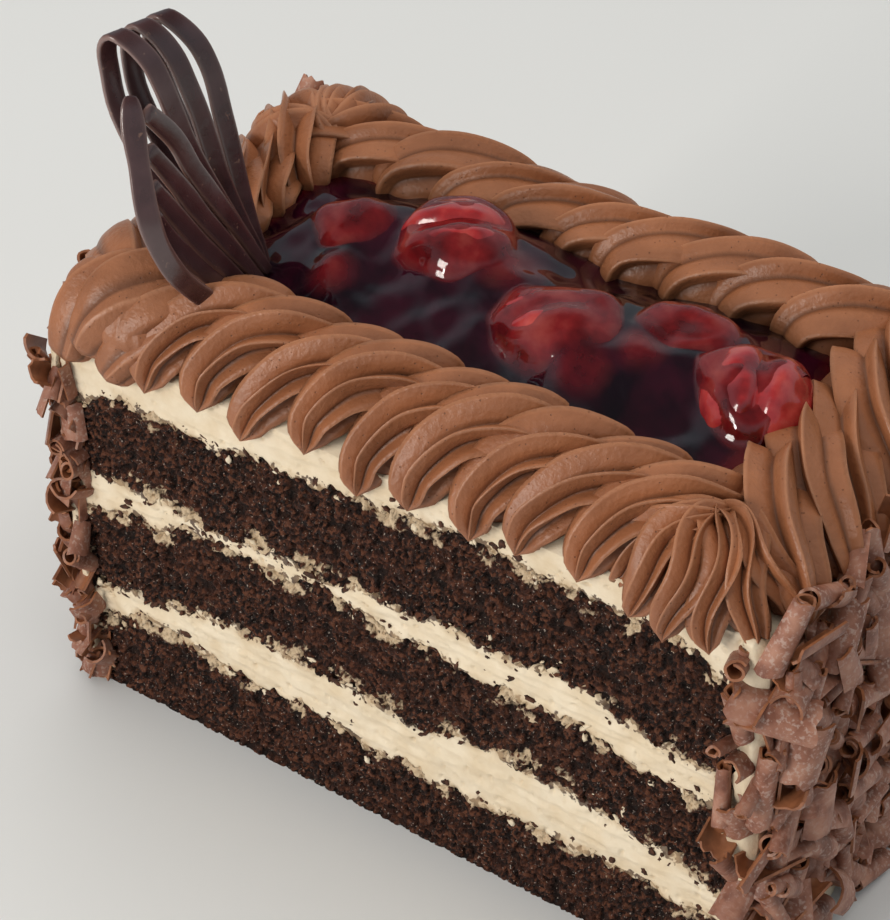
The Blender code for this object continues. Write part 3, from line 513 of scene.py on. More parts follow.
bloom, tree, shader = material("milk_chocolate_bloom")
milky = ramp(tree, pattern(tree, 0.0035, 4.0), *BLOOM_TONES)
dust = ramp(tree, pattern(tree, 0.00060, 5.0), (0.52, 0.0), (0.64, 0.60))
dust = maths(tree, "MULTIPLY", dust, ramp(tree, pattern(tree, 0.006, 2.0), (0.40, 0.25), (0.60, 1.0)))
coat_shader(tree, shader, Base_Color=mixed(tree, dust, milky, BLOOM_DUST), Roughness=0.50,
            Specular_IOR_Level=0.4, Normal=bumped(tree, pattern(tree, 0.0009, 4.0), 0.30, 0.0003))
# Inner sides and edges of the curls: bare chocolate without bloom, in an orange-brown that is partly a
# painted glow of light passing through the thin wall.
shaved, tree, shader = material("milk_chocolate_cut_glow")
coat_shader(tree, shader, Base_Color=ramp(tree, pattern(tree, 0.002, 3.0), *CUT_GLOW_TONES), Roughness=0.42,
            Specular_IOR_Level=0.5, Normal=bumped(tree, pattern(tree, 0.0006, 3.0), 0.20, 0.0002))


def end_coat(name, side, thick):
    """The cream spread on one end: a slab with a lumpy face, smeared a little over the cut."""
    start = LENGTH / 2 - thick + GAP / 2
    bm = bmesh.new()
    bmesh.ops.create_cube(bm, size=1.0)
    bmesh.ops.subdivide_edges(bm, edges=bm.edges, cuts=COAT_CUTS, use_grid_fill=True)
    edge_layer = bm.verts.layers.float.new("edge")
    for vert in bm.verts:
        across, y, z = vert.co.x + 0.5, vert.co.y * DEPTH, (vert.co.z + 0.5) * CAKE_TOP
        vert[edge_layer] = 0.75 - across * 0.3
        swell = COAT_SWELL * noise.noise(Vector((side, y / 0.006, z / 0.006)))
        ragged = sum(step * noise.noise(Vector((side, y / 0.05, z / wave))) for wave, step in COAT_RAGS)
        reach = across * (thick - GAP / 2 + swell) - (1 - across) * max(ragged, -GAP * 2 / 3)
        rounding = max(across - 0.45, 0.0) ** 2 * COAT_ROUNDING
        proud = COAT_PROUD[0] + COAT_PROUD[1] * noise.noise(Vector((5, z / 0.003, across * 2)))
        y = math.copysign(abs(y) * (1 + (proud - rounding) / (DEPTH / 2)), y)
        vert.co = (side * (start + reach), y, min(z, CAKE_TOP - rounding * z / CAKE_TOP))
    bmesh.ops.recalc_face_normals(bm, faces=bm.faces)
    piece(name, bm, [cream], [COATS[side]])


for name, side, thick, placed in (("left", -1, COAT_LEFT, ()), ("right", 1, COAT_RIGHT, PLACED_CURLS)):
    end_coat("end_cream_" + name, side, thick)
    shavings("curls_" + name, side, CURL_SEED + (side > 0), placed, [bloom, shaved])

# Piped border
# Chocolate buttercream piped with a star tube, strand after strand round the top. Each strand
# starts at the pool, swells over the crest and is pulled off over the edge in a thin tail.
STRAND_ROUTE = (
    (0.0066, -0.0156, 0.0758, 0.0034),
    (0.0052, -0.0138, 0.0790, 0.0050),
    (0.0008, -0.0104, 0.0804, 0.0056),
    (-0.0042, -0.0058, 0.0790, 0.0052),
    (-0.0072, -0.0010, 0.0750, 0.0042),
    (-0.0080, 0.0018, 0.0700, 0.0022),
)
SMEAR_ROUTE = (
    (0.0040, -0.0165, 0.0745, 0.0030),
    (0.0030, -0.0135, 0.0770, 0.0050),
    (0.0000, -0.0095, 0.0785, 0.0062),
    (-0.0025, -0.0050, 0.0772, 0.0062),
    (-0.0040, -0.0010, 0.0745, 0.0046),
    (-0.0050, 0.0022, 0.0708, 0.0022),
)
FINGER_ROUTE = (
    (-0.0020, 0.0800, 0.0020),
    (0.0030, 0.0815, 0.0034),
    (0.0075, 0.0795, 0.0036),
    (0.0115, 0.0750, 0.0031),
    (0.0140, 0.0695, 0.0014),
)
LEAF_ROUTE = (
    (-0.0035, 0.0785, 0.0016),
    (0.0015, 0.0812, 0.0036),
    (0.0065, 0.0812, 0.0042),
    (0.0110, 0.0775, 0.0036),
    (0.0138, 0.0725, 0.0012),
)
STRAND_SHIFT = 0.0006
STRAND_SWELL = (0.93, 1.07)
STRAND_REACH = 1.08
STRAND_UNEVEN = 0.07
STRAND_RUFFLE = 0.08
STRAND_WANDER = 0.25
STRAND_PHASE = 0.6
TAIL_START = 0.8
TAIL_THINNING = (0.25, 0.45)
TAIL_DROP = (-0.0016, 0.0020)
TAIL_SWAY = (-0.0020, 0.0014)
BORDER_SEED = 5
FRONT_PITCH = 0.0096
FRONT_FIRST = -0.0340
FRONT_COUNT = 9
SMEAR_PLACES = (-0.0535, -0.0485, -0.0430)
BACK_PITCH = 0.0103
BACK_FIRST = -0.0430
BACK_COUNT = 10
BACK_FINS = 5
BACK_FIN_DEPTH = 0.44
BACK_SETTLE = 0.0012
RIGHT_FINS = 6
RIGHT_FIN_DEPTH = 0.55
RIGHT_PLACES = (-0.0160, -0.0075, 0.0010, 0.0095, 0.0180)
LEFT_PLACES = (-0.0170, -0.0090, -0.0010, 0.0070)
LEFT_SMEAR_PLACES = (0.0150, 0.0225)
LEFT_FIN_DEPTH = 0.76
FAN_FRONT_RIGHT = (0.0500, -0.0245, 215, 350, 6)
FAN_BACK_RIGHT = (0.0510, 0.0245, 10, 125, 4)
FAN_BACK_LEFT = (-0.0510, 0.0245, 95, 222, 7)
LEAVES_BACK_LEFT = (-0.0500, 0.0215, 62, 205, 9)
LEAF_SHAPE = (2, 0.68, 0.5)
STRAND_FINS = 8
FIN_DEPTH = 0.66
FIN_FALL = 0.74
FIN_SEGMENTS = 12
STRAND_RINGS = 38
STRAND_BLUNTNESS = 3.4
SMEAR_BLUNTNESS = 5.0
SMEAR_FINS = 5
SMEAR_DEPTH = 0.22
DOME_MIDDLE = Vector((-0.0500, -0.0268, 0.0770))
DOME_GIRTH = Vector((0.0120, 0.0086, 0.0066))
DOME_SWELL = 0.13
DOME_DRAG = 0.030
DOME_CRACKS = (
    ((0.20, -0.72, 0.66), (0.62, 0.55, 0.56), 0.045, 0.20, 0.16),
    ((0.62, -0.66, 0.42), (0.80, 0.42, 0.42), 0.035, 0.16, 0.12),
    ((-0.15, -0.45, 0.88), (0.80, -0.55, -0.20), 0.030, 0.22, 0.08),
)
STRAND_TWIST = 1.3
SEAT_MARGIN = 0.0005
FINGER_SHAPE = (7, 0.72, 0.9)
FINGER_WAVE = 0.0014
BUTTERCREAM_TONES = ((0.30, (0.235, 0.086, 0.037)), (0.70, (0.330, 0.126, 0.056)))
# painted highlight on the fins' crests
CREST_HIGHLIGHT = (0.48, 0.225, 0.125)
# painted shade in the grooves and cracks
GROOVE_SHADE = (0.070, 0.025, 0.012)
# painted shade in the bubble pits
BUBBLE_SHADE = (0.070, 0.026, 0.014)


def spline(rows, t):
    """Point at t, from 0 to 1, on a smooth curve through rows of equal length."""
    last = len(rows) - 1
    place = min(max(t, 0.0), 1.0) * last
    i = min(int(place), last - 1)
    f = place - i
    before, start = rows[max(i - 1, 0)], rows[i]
    end, after = rows[i + 1], rows[min(i + 2, last)]
    return [0.5 * (2 * b + (c - a) * f + (2 * a - 5 * b + 4 * c - d) * f * f
                   + (3 * b - a - 3 * c + d) * f ** 3)
            for a, b, c, d in zip(before, start, end, after)]


def fin(place):
    """Depth of the groove at a place between one crest and the next: a slope, then a steep rise."""
    place %= 1.0
    if place < FIN_FALL:
        return (place / FIN_FALL) ** 0.75
    return ((1 - place) / (1 - FIN_FALL)) ** 0.9


def strand(bm, route, fins, depth, twist, bluntness, seed, wave=0.0):
    """One piped strand: a sphere drawn out along a route, its section a star of thin fins."""
    part = bmesh.new()
    fin_layer = part.verts.layers.float.new("fin")
    lean = noise.noise(Vector((seed * 2.3, 4.0, 0.5)))
    phase = STRAND_PHASE * noise.noise(Vector((seed * 1.7, 9.0, 2.5)))
    bmesh.ops.create_uvsphere(part, u_segments=FIN_SEGMENTS * fins, v_segments=STRAND_RINGS, radius=1.0)
    stations = {}
    for vert in part.verts:
        level = round(vert.co.z, 5)
        if level not in stations:
            t = math.acos(max(-1.0, min(1.0, level))) / math.pi
            ahead = Vector(spline(route, t + 0.02)[:3]) - Vector(spline(route, t - 0.02)[:3])
            tangent = ahead.normalized()
            side = tangent.cross(Vector((0, 0, 1)))
            side = side.normalized() if side.length > 0.05 else Vector((1, 0, 0))
            blunt = min(1.0, math.sin(math.pi * t) * bluntness) if 0 < t < 1 else 0.0
            if t > TAIL_START and bluntness < SMEAR_BLUNTNESS:
                thinning = TAIL_THINNING[0] + TAIL_THINNING[1] * lean
                blunt *= 1 - thinning * ((t - TAIL_START) / (1 - TAIL_START)) ** 2
            stations[level] = (t, spline(route, t), side, side.cross(tangent), blunt)
        t, here, side, up, blunt = stations[level]
        x, y = vert.co.x, vert.co.y
        turn = math.atan2(y, x)
        hollow = fin(fins * turn / math.tau)
        turn += math.pi / 2 + phase - twist * (t - 0.5)
        turn += STRAND_WANDER * noise.noise(Vector((x, y, seed * 1.3)))
        uneven = noise.noise(Vector((x * 2.6, y * 2.6, seed + t * 1.5)))
        groove = depth * hollow * min(1.0, 2.5 * math.sin(math.pi * t) + 0.15)
        star = STRAND_REACH + STRAND_UNEVEN * uneven - groove
        ruffle = noise.noise(Vector((x * 1.2, y * 1.2 + seed, t * 4 + seed)))
        reach = here[3] * blunt * star * (1 + STRAND_RUFFLE * ruffle)
        shift = side * (wave * math.sin(math.tau * 1.2 * t + seed) * math.sin(math.pi * t))
        # The finish reads this groove depth to paint highlight on the crests and shade in the grooves.
        vert[fin_layer] = hollow
        vert.co = Vector(here[:3]) + shift + (side * math.cos(turn) + up * math.sin(turn)) * reach
    add_part(bm, part)


def side_point(side, along, out, height):
    """A point given from the edge of one side; sides run front, right, back, left."""
    reach = (DEPTH, LENGTH)[side % 2] / 2
    return Matrix.Rotation(side * math.pi / 2, 3, "Z") @ Vector((along, -reach - out, height))


def side_strand(bm, side, place, rows, fins, depth, wobble, bluntness=STRAND_BLUNTNESS):
    """A strand of the border at one place along a side, a little unlike its neighbours."""
    shift = wobble.uniform(-STRAND_SHIFT, STRAND_SHIFT)
    swell = wobble.uniform(*STRAND_SWELL)
    tail = wobble.uniform(*TAIL_DROP)
    sway = wobble.uniform(*TAIL_SWAY)
    route = []
    for k, (along, out, height, girth) in enumerate(rows):
        share = k / (len(rows) - 1)
        point = side_point(side, place + along + shift + sway * share ** 3, out, height - tail * share)
        route.append((*point, girth * swell))
    strand(bm, route, fins, depth, STRAND_TWIST, bluntness, place * 900 + side * 7)


def corner_fan(bm, middle_x, middle_y, first, last, count, rows=FINGER_ROUTE, shape=FINGER_SHAPE):
    """Thin ridges that spread from one point and hang over a corner."""
    for k in range(count):
        angle = math.radians(first + (last - first) * k / (count - 1))
        route = []
        for reach, height, girth in rows:
            x = middle_x + reach * math.cos(angle)
            y = middle_y + reach * math.sin(angle)
            route.append((x, y, height, girth))
        strand(bm, route, *shape, STRAND_BLUNTNESS, angle * 3 + middle_x * 90, FINGER_WAVE)


def smeared_dome(bm):
    """The broad dome over the front left corner, where the tube was dragged outwards."""
    part = bmesh.new()
    fin_layer = part.verts.layers.float.new("fin")
    bmesh.ops.create_uvsphere(part, u_segments=180, v_segments=70, radius=1.0)
    for vert in part.verts:
        co = vert.co.copy()
        drag = noise.noise(Vector((co.x * 10, co.y * 1.4, co.z * 1.4)))
        swell = noise.noise(co * 1.4 + Vector((3, 1, 0)))
        reach = 1 + DOME_SWELL * swell + DOME_DRAG * drag
        vert[fin_layer] = 0.3
        for spot, run, width, length, depth in DOME_CRACKS:
            off = co - Vector(spot)
            along = off.dot(Vector(run))
            aside = (off - Vector(run) * along).length
            split = math.exp(-(aside / width) ** 2 - (along / length) ** 2)
            reach -= depth * split
            # A crack reads as a groove, so the finish paints shade into it.
            vert[fin_layer] += 0.7 * split
        vert.co = DOME_MIDDLE + co * DOME_GIRTH * reach
    add_part(bm, part)


def trim_seat(bm):
    """Brings what lies under the cake's top up to it."""
    for vert in bm.verts:
        if abs(vert.co.x) < LENGTH / 2 - SEAT_MARGIN and abs(vert.co.y) < DEPTH / 2 - SEAT_MARGIN:
            vert.co.z = max(vert.co.z, CAKE_TOP)


buttercream, tree, shader = material("chocolate_buttercream")
tone = ramp(tree, pattern(tree, 0.008, 3.0), *BUTTERCREAM_TONES)
# Lighter along each fin's crest: painted highlight.
crest_highlight = ramp(tree, painted(tree, "fin"), (0.0, 0.5), (0.16, 0.0))
# Darker deep in each groove between the fins and in the dome's cracks: painted shade.
groove_shade = ramp(tree, painted(tree, "fin"), (0.72, 0.0), (1.0, 0.75))
tone = mixed(tree, crest_highlight, tone, CREST_HIGHLIGHT)
tone = mixed(tree, groove_shade, tone, GROOVE_SHADE)
bubbles = ramp(tree, pattern(tree, 0.0013, kind="Voronoi"), (0.070, 1.0), (0.120, 0.0))
# Darker in the bubble pits that the bump sinks: painted shade.
tone = mixed(tree, maths(tree, "MULTIPLY", bubbles, 0.6), tone, BUBBLE_SHADE)
pitted = maths(tree, "SUBTRACT", pattern(tree, 0.0009, 4.0), bubbles, clamp=False)
coat_shader(tree, shader, Base_Color=tone, Roughness=0.40, Specular_IOR_Level=0.45,
            Normal=bumped(tree, pitted, 0.45, 0.00040))
wobble = random.Random(BORDER_SEED)
bm = bmesh.new()
for place in SMEAR_PLACES:
    side_strand(bm, 0, place, SMEAR_ROUTE, SMEAR_FINS, SMEAR_DEPTH, wobble, SMEAR_BLUNTNESS)
smeared_dome(bm)
for k in range(FRONT_COUNT):
    side_strand(bm, 0, FRONT_FIRST + k * FRONT_PITCH, STRAND_ROUTE, STRAND_FINS, FIN_DEPTH, wobble)
corner_fan(bm, *FAN_FRONT_RIGHT)
trim_seat(bm)
piece("piping_front", bm, [buttercream], ["border"])
bm = bmesh.new()
for place in RIGHT_PLACES:
    side_strand(bm, 1, place, STRAND_ROUTE, RIGHT_FINS, RIGHT_FIN_DEPTH, wobble)
corner_fan(bm, *FAN_BACK_RIGHT)
trim_seat(bm)
piece("piping_right", bm, [buttercream], ["border"])
bm = bmesh.new()
for k in range(BACK_COUNT):
    settled = [(along, out, height - BACK_SETTLE * k / BACK_COUNT, girth)
               for along, out, height, girth in STRAND_ROUTE]
    side_strand(bm, 2, BACK_FIRST + k * BACK_PITCH, settled, BACK_FINS, BACK_FIN_DEPTH, wobble)
corner_fan(bm, *FAN_BACK_LEFT)
corner_fan(bm, *LEAVES_BACK_LEFT, LEAF_ROUTE, LEAF_SHAPE)
trim_seat(bm)
piece("piping_back", bm, [buttercream], ["border"])
bm = bmesh.new()
for place in LEFT_PLACES:
    side_strand(bm, 3, place, STRAND_ROUTE, STRAND_FINS, LEFT_FIN_DEPTH, wobble)
for place in LEFT_SMEAR_PLACES:
    side_strand(bm, 3, place, SMEAR_ROUTE, SMEAR_FINS, SMEAR_DEPTH, wobble, SMEAR_BLUNTNESS)
trim_seat(bm)
piece("piping_left", bm, [buttercream], ["border"])

# Cherries
# Stoned sour cherries, soft from the jar, so each is dented and a little folded. They lie on
# the cream and stand half out of the gel, which runs over them and leaves them wet.
CHERRIES = (
    (-0.0136, 0.0052, 0.0088, 1.05),
    (-0.0296, 0.0012, 0.0062, 1.00),
    (0.0103, -0.0040, 0.0080, 1.22),
    (0.0272, 0.0052, 0.0072, 1.00),
    (0.0416, -0.0012, 0.0084, 1.00),
)
FOLDS = ((2.2, 0.24), (0.6, 0.14), (5.4, 0.20), (2.9, 0.14), (3.5, 0.22))
FOLD_WIDTH = 0.16
FOLD_TILT = 0.15
CHERRY_DENTS = ((1.5, 0.09), (4.0, 0.03))
STALK_DIMPLE = 0.12
FLESH = ((0.32, (0.13, 0.0045, 0.0070)), (0.50, (0.30, 0.014, 0.016)), (0.70, (0.44, 0.062, 0.050)))
FLESH_GRAIN = 0.0055
GEL_RIM = 0.0775
GEL_CROWN = 0.0035
GEL_LUMP = 0.0066
GEL_LUMP_SHARE = 0.8
GEL_LUMP_FALL = 0.42
GEL_HALF_LENGTH = 0.0472
GEL_HALF_WIDTH = 0.0198
GEL_MIDDLE = -0.0002
GEL_WAVES = ((0.0100, 0.0019), (0.0048, 0.0009))
SUNK_FRUIT = (
    (0.0182, -0.0105, 0.0062, 0.0026),
    (0.0242, -0.0040, 0.0052, 0.0026),
    (-0.0030, 0.0030, 0.0070, 0.0010),
    (-0.0262, -0.0095, 0.0050, 0.0014),
)


def gel_level(x, y):
    """Height of the gel where no fruit lifts it, with a soft swell near every cherry."""
    u, v = (x - GEL_MIDDLE) / GEL_HALF_LENGTH, y / GEL_HALF_WIDTH
    level = GEL_RIM + GEL_CROWN * max(1 - u ** 4, 0.0) * max(1 - v * v, 0.0)
    swell = 0.0
    for cx, cy, radius, stretch in CHERRIES:
        far = math.hypot((x - cx) / stretch, y - cy) / radius
        swell += (GEL_LUMP * math.exp(-far * far * GEL_LUMP_FALL)) ** 2
    ripple = sum(height * noise.noise(Vector((x / wave, y / wave, wave * 900)))
                 for wave, height in GEL_WAVES)
    rise = sum(height * math.exp(-((x - cx) ** 2 + (y - cy) ** 2) / spread ** 2)
               for cx, cy, spread, height in SUNK_FRUIT)
    return level + min(math.sqrt(swell), GEL_LUMP) * GEL_LUMP_SHARE + rise + ripple * max(1 - v ** 4, 0.0)


def cherry(index, finish):
    """One stoned cherry: a round fruit with dents and a fold where the stone came out."""
    x, y, radius, stretch = CHERRIES[index]
    fold_turn, fold_depth = FOLDS[index]
    fold = Vector((math.cos(fold_turn), math.sin(fold_turn), FOLD_TILT)).normalized()
    bm = bmesh.new()
    bmesh.ops.create_icosphere(bm, subdivisions=5, radius=1.0)
    centre = Vector((x, y, CAKE_TOP + 2 * GAP + radius))
    for vert in bm.verts:
        co = vert.co.normalized()
        dent = sum(deep * noise.noise(co * fine + Vector((index * 5, 0, 0)))
                   for fine, deep in CHERRY_DENTS)
        crease = fold_depth * math.exp(-(co.dot(fold) / FOLD_WIDTH) ** 2) * min(max(co.z, 0.0) * 2, 1.0)
        dimple = STALK_DIMPLE * math.exp(-9 * (1 - co.z))
        reach = radius * (1 + dent - crease)
        vert.co = centre + Vector((co.x * reach * stretch, co.y * reach, co.z * reach * (1 - dimple)))
    piece("fruit_%d" % (index + 1), bm, [finish], ["cherry_%d" % (index + 1)])


flesh, tree, shader = material("stoned_cherry")
skin = ramp(tree, pattern(tree, FLESH_GRAIN, 4.0), *FLESH)
coat_shader(tree, shader, Base_Color=skin, Roughness=0.22, Specular_IOR_Level=0.5, Coat_Weight=0.8,
            Coat_Roughness=0.04, Normal=bumped(tree, pattern(tree, 0.0022, 3.0), 0.18, 0.0006))
for index in range(len(CHERRIES)):
    cherry(index, flesh)

# Cherry gel
# Thickened cherry juice poured into the ring while warm. It set level against the piping and hangs
# over the cherries in a thin skin, nearly black where it is deep and red where it is thin.
GEL_GRID = (250, 110)
GEL_SKIN = (0.0010, -0.0006)
GEL_COLLAR = 0.0046
GEL_WANDER = 0.0007
GEL_CLEAR = 0.0075
SUNK_GLOW = 0.6
RIM_GLOW = 0.5
CORNER_PULL = (0.07, 0.12)
FRUIT_SLUMP = 0.22
FRUIT_CREASE = 0.7
GEL_TONES = ((0.38, (0.010, 0.0012, 0.0070)), (0.62, (0.054, 0.0036, 0.0160)))


def soft_max(first, second, blend):
    """The larger of two heights, rounded where they meet."""
    overlap = max(blend - abs(first - second), 0.0) / blend
    return max(first, second) + overlap * overlap * blend / 4


def fruit_top(x, y):
    """Height of the cherries' surface over a point, and how near that is to a cherry's top."""
    best, share = 0.0, 0.0
    for (cx, cy, radius, stretch), (turn, fold) in zip(CHERRIES, FOLDS):
        aside, along = (x - cx) / stretch, y - cy
        uneven = noise.noise(Vector((aside / radius * 1.1, along / radius * 1.1, cx * 900)))
        slump = 1 + FRUIT_SLUMP * uneven
        far = math.hypot(aside, along) * slump
        off_fold = (aside * math.cos(turn) + along * math.sin(turn)) / (radius * FOLD_WIDTH * 1.6)
        crease = fold * radius * FRUIT_CREASE * math.exp(-off_fold * off_fold)
        centre = CAKE_TOP + 2 * GAP + radius - crease
        height = centre + math.sqrt(max(radius * radius - far * far, 0.0)) - max(far - radius, 0.0) * 4
        if height > best:
            best, share = height, max(1 - far / radius, 0.0)
    return best, share


bm = bmesh.new()
bmesh.ops.create_grid(bm, x_segments=GEL_GRID[0], y_segments=GEL_GRID[1], size=1.0)
underside = bmesh.ops.extrude_face_region(bm, geom=bm.faces[:])["geom"]
underside = {item for item in underside if isinstance(item, bmesh.types.BMVert)}
thin_layer = bm.verts.layers.float.new("thin")
for vert in bm.verts:
    u, v = vert.co.x, vert.co.y
    x = GEL_MIDDLE + GEL_HALF_LENGTH * u * (1 - CORNER_PULL[0] * v ** 4)
    y = GEL_HALF_WIDTH * v * (1 - CORNER_PULL[1] * u ** 4)
    if vert in underside:
        vert.co = (x, y, CAKE_TOP + GAP)
        continue
    level = gel_level(x, y)
    fruit, share = fruit_top(x, y)
    skin_here = GEL_SKIN[0] + (GEL_SKIN[1] - GEL_SKIN[0]) * min(share * 2.6, 1.0)
    wander = GEL_WANDER * noise.noise(Vector((x / 0.0045, y / 0.0045, 8.0)))
    z = soft_max(level, fruit + skin_here + wander, GEL_COLLAR)
    over_fruit = min(max(1 - (z - fruit) / GEL_CLEAR, 0.0), 1.0)
    sunk = max(SUNK_GLOW * math.exp(-((x - cx) ** 2 + (y - cy) ** 2) / (spread * 0.7) ** 2)
               for cx, cy, spread, _ in SUNK_FRUIT)
    at_rim = min(max(1.15 - (1 - max(abs(u), abs(v))) * 14, 0.0), 1.0) * RIM_GLOW
    vert[thin_layer] = max(over_fruit, at_rim, sunk)
    vert.co = (x, y, z)
bmesh.ops.recalc_face_normals(bm, faces=bm.faces)
jelly, tree, shader = material("cherry_gel")
depths = ramp(tree, pattern(tree, 0.009, 3.0), *GEL_TONES)
beneath = ramp(tree, pattern(tree, FLESH_GRAIN, 4.0), *FLESH)
shown = ramp(tree, painted(tree, "thin"), (0.10, 0.0), (0.80, 1.0))
coat_shader(tree, shader, Base_Color=mixed(tree, shown, depths, beneath), Roughness=0.08,
            Specular_IOR_Level=0.60, Coat_Weight=0.9, Coat_Roughness=0.03, Coat_IOR=1.8)
piece("gel_pool", bm, [jelly], ["cherry_gel"])

# Chocolate fan
# Dark chocolate combed into straps on a strip of film, folded while soft and pinched at the foot:
# three loops behind, and in front four ribs that spring from one turned rim.
FAN_FOOT = Vector((-0.0364, -0.0175, 0.0762))
FAN_LEAN = math.radians(13.7)
FAN_THICK = 0.0011
FRONT_RIM = ((0.0100, 0.0408, 0.0002), (0.0112, 0.0390, 0.0008), (0.0123, 0.0353, 0.0010),
             (0.0133, 0.0309, 0.0012), (0.0143, 0.0264, 0.0014), (0.0148, 0.0224, 0.0016),
             (0.0142, 0.0178, 0.0016), (0.0122, 0.0124, 0.0015), (0.0080, 0.0064, 0.0013),
             (0.0032, 0.0011, 0.0011))
FRONT_RIBS = (
    ((0.0099, 0.0386), (0.0051, 0.0317), (0.0030, 0.0254), (0.0001, 0.0183), (-0.0030, 0.0105),
     (-0.0058, 0.0030)),
    ((0.0115, 0.0337), (0.0069, 0.0251), (0.0044, 0.0196), (0.0013, 0.0130), (-0.0020, 0.0065),
     (-0.0044, 0.0014)),
    ((0.0128, 0.0284), (0.0085, 0.0201), (0.0054, 0.0139), (0.0016, 0.0075), (-0.0008, 0.0034),
     (-0.0026, 0.0008)),
    ((0.0138, 0.0238), (0.0110, 0.0177), (0.0075, 0.0122), (0.0039, 0.0066), (0.0016, 0.0030),
     (0.0004, 0.0008)),
)
LOOPS = (
    ((-0.0066, 0.0004, -0.0016), (-0.0060, 0.0060, -0.0017), (-0.0038, 0.0128, -0.0018),
     (-0.0008, 0.0221, -0.0018), (0.0006, 0.0280, -0.0018), (0.0012, 0.0334, -0.0018),
     (0.0017, 0.0379, -0.0019), (0.0022, 0.0418, -0.0024), (0.0030, 0.0450, -0.0040),
     (0.0038, 0.0466, -0.0062), (0.0036, 0.0446, -0.0088), (0.0034, 0.0405, -0.0100),
     (0.0039, 0.0340, -0.0100), (0.0028, 0.0240, -0.0084), (0.0002, 0.0150, -0.0058),
     (-0.0028, 0.0070, -0.0036), (-0.0052, 0.0004, -0.0030)),
    ((-0.0070, 0.0004, -0.0016), (-0.0067, 0.0060, -0.0017), (-0.0054, 0.0119, -0.0018),
     (-0.0039, 0.0204, -0.0018), (-0.0037, 0.0258, -0.0018), (-0.0035, 0.0310, -0.0018),
     (-0.0030, 0.0356, -0.0019), (-0.0026, 0.0402, -0.0024), (-0.0020, 0.0440, -0.0040),
     (-0.0013, 0.0458, -0.0062), (-0.0014, 0.0440, -0.0088), (-0.0012, 0.0400, -0.0100),
     (-0.0008, 0.0340, -0.0100), (-0.0016, 0.0240, -0.0084), (-0.0030, 0.0150, -0.0058),
     (-0.0048, 0.0070, -0.0036), (-0.0062, 0.0004, -0.0030)),
    ((-0.0074, 0.0004, -0.0016), (-0.0074, 0.0060, -0.0017), (-0.0072, 0.0128, -0.0018),
     (-0.0077, 0.0237, -0.0018), (-0.0079, 0.0288, -0.0018), (-0.0082, 0.0330, -0.0018),
     (-0.0081, 0.0364, -0.0019), (-0.0075, 0.0402, -0.0024), (-0.0066, 0.0434, -0.0040),
     (-0.0059, 0.0451, -0.0062), (-0.0061, 0.0436, -0.0088), (-0.0062, 0.0400, -0.0100),
     (-0.0060, 0.0340, -0.0100), (-0.0062, 0.0240, -0.0084), (-0.0066, 0.0150, -0.0058),
     (-0.0070, 0.0070, -0.0036), (-0.0074, 0.0004, -0.0030)),
)
LOOP_SIDEWAYS = Vector((0.37, 0.93, 0.0))
LOOP_WIDTH = 0.0031
LOOP_TAPER = (0.55, 0.70, 0.85) + (1.00,) * 11 + (0.85, 0.70, 0.55)
RIB_WIDTH = 0.0034
RIB_TAPER = (0.80, 1.00, 1.00, 0.85, 0.65, 0.50)
RIB_RISE = (0.0012, 0.0003, 0.0, 0.0, 0.0, 0.0)
RIM_WIDTH = 0.0034
RIM_TAPER = (0.50, 0.90) + (1.00,) * 6 + (0.95, 0.80)
RIM_TURN = (0.75, 0.66)
RIB_OUT = 0.0006
RIB_STEP = 0.00017
STRAP_BLUNTNESS = 12
STRAP_SIDES = 24
STRAP_WAVER = 0.10
LOOP_RINGS = 60
RIM_RINGS = 44
RIB_RINGS = 30
COCOA_TONES = ((0.30, (0.034, 0.0115, 0.0125)), (0.70, (0.062, 0.0260, 0.0270)))
# painted sheen on the straps' edges
EDGE_SHEEN_TONE = (0.24, 0.135, 0.115)
SCUFF_TONE = (0.22, 0.12, 0.085)


def fan_point(front, up, out):
    """A point of the fan's leaning plane."""
    lean = Vector((-math.sin(FAN_LEAN), 0, math.cos(FAN_LEAN)))
    facing = Vector((math.cos(FAN_LEAN), 0, math.sin(FAN_LEAN)))
    return FAN_FOOT + Vector((0, -front, 0)) + lean * up + facing * out


def strap(bm, rows, rings, facing=None, sideways=None):
    """One strap of chocolate: a ball drawn out along its route, its section flat and rounded."""
    part = bmesh.new()
    rim_layer = part.verts.layers.float.new("rim")
    bmesh.ops.create_uvsphere(part, u_segments=STRAP_SIDES, v_segments=rings, radius=1.0)
    for vert in part.verts:
        t = math.acos(max(-1.0, min(1.0, vert.co.z))) / math.pi
        turn = math.atan2(vert.co.y, vert.co.x)
        blunt = min(1.0, math.sin(math.pi * t) * STRAP_BLUNTNESS) if 0 < t < 1 else 0.0
        here = spline(rows, t)
        ahead = Vector(spline(rows, t + 0.01)[:3]) - Vector(spline(rows, t - 0.01)[:3])
        tangent = ahead.normalized()
        if facing:
            across = tangent.cross(facing).normalized()
        else:
            across = (sideways - tangent * sideways.dot(tangent)).normalized()
        wide = math.copysign(abs(math.cos(turn)) ** 0.35, math.cos(turn)) * 0.5
        deep = math.copysign(abs(math.sin(turn)) ** 0.70, math.sin(turn)) * 0.5
        waver = 1 + STRAP_WAVER * noise.noise(Vector((t * 8, rows[0][0] * 900, 0)))
        # Nearness to the strap's edge, where the finish paints a lighter sheen.
        vert[rim_layer] = abs(math.cos(turn)) ** 2.5
        out = across.cross(tangent) * (deep * FAN_THICK)
        vert.co = Vector(here[:3]) + (across * (wide * here[3] * waver) + out) * blunt
    add_part(bm, part)


dark, tree, shader = material("dark_chocolate")
cocoa = ramp(tree, pattern(tree, 0.005, 3.0), *COCOA_TONES)
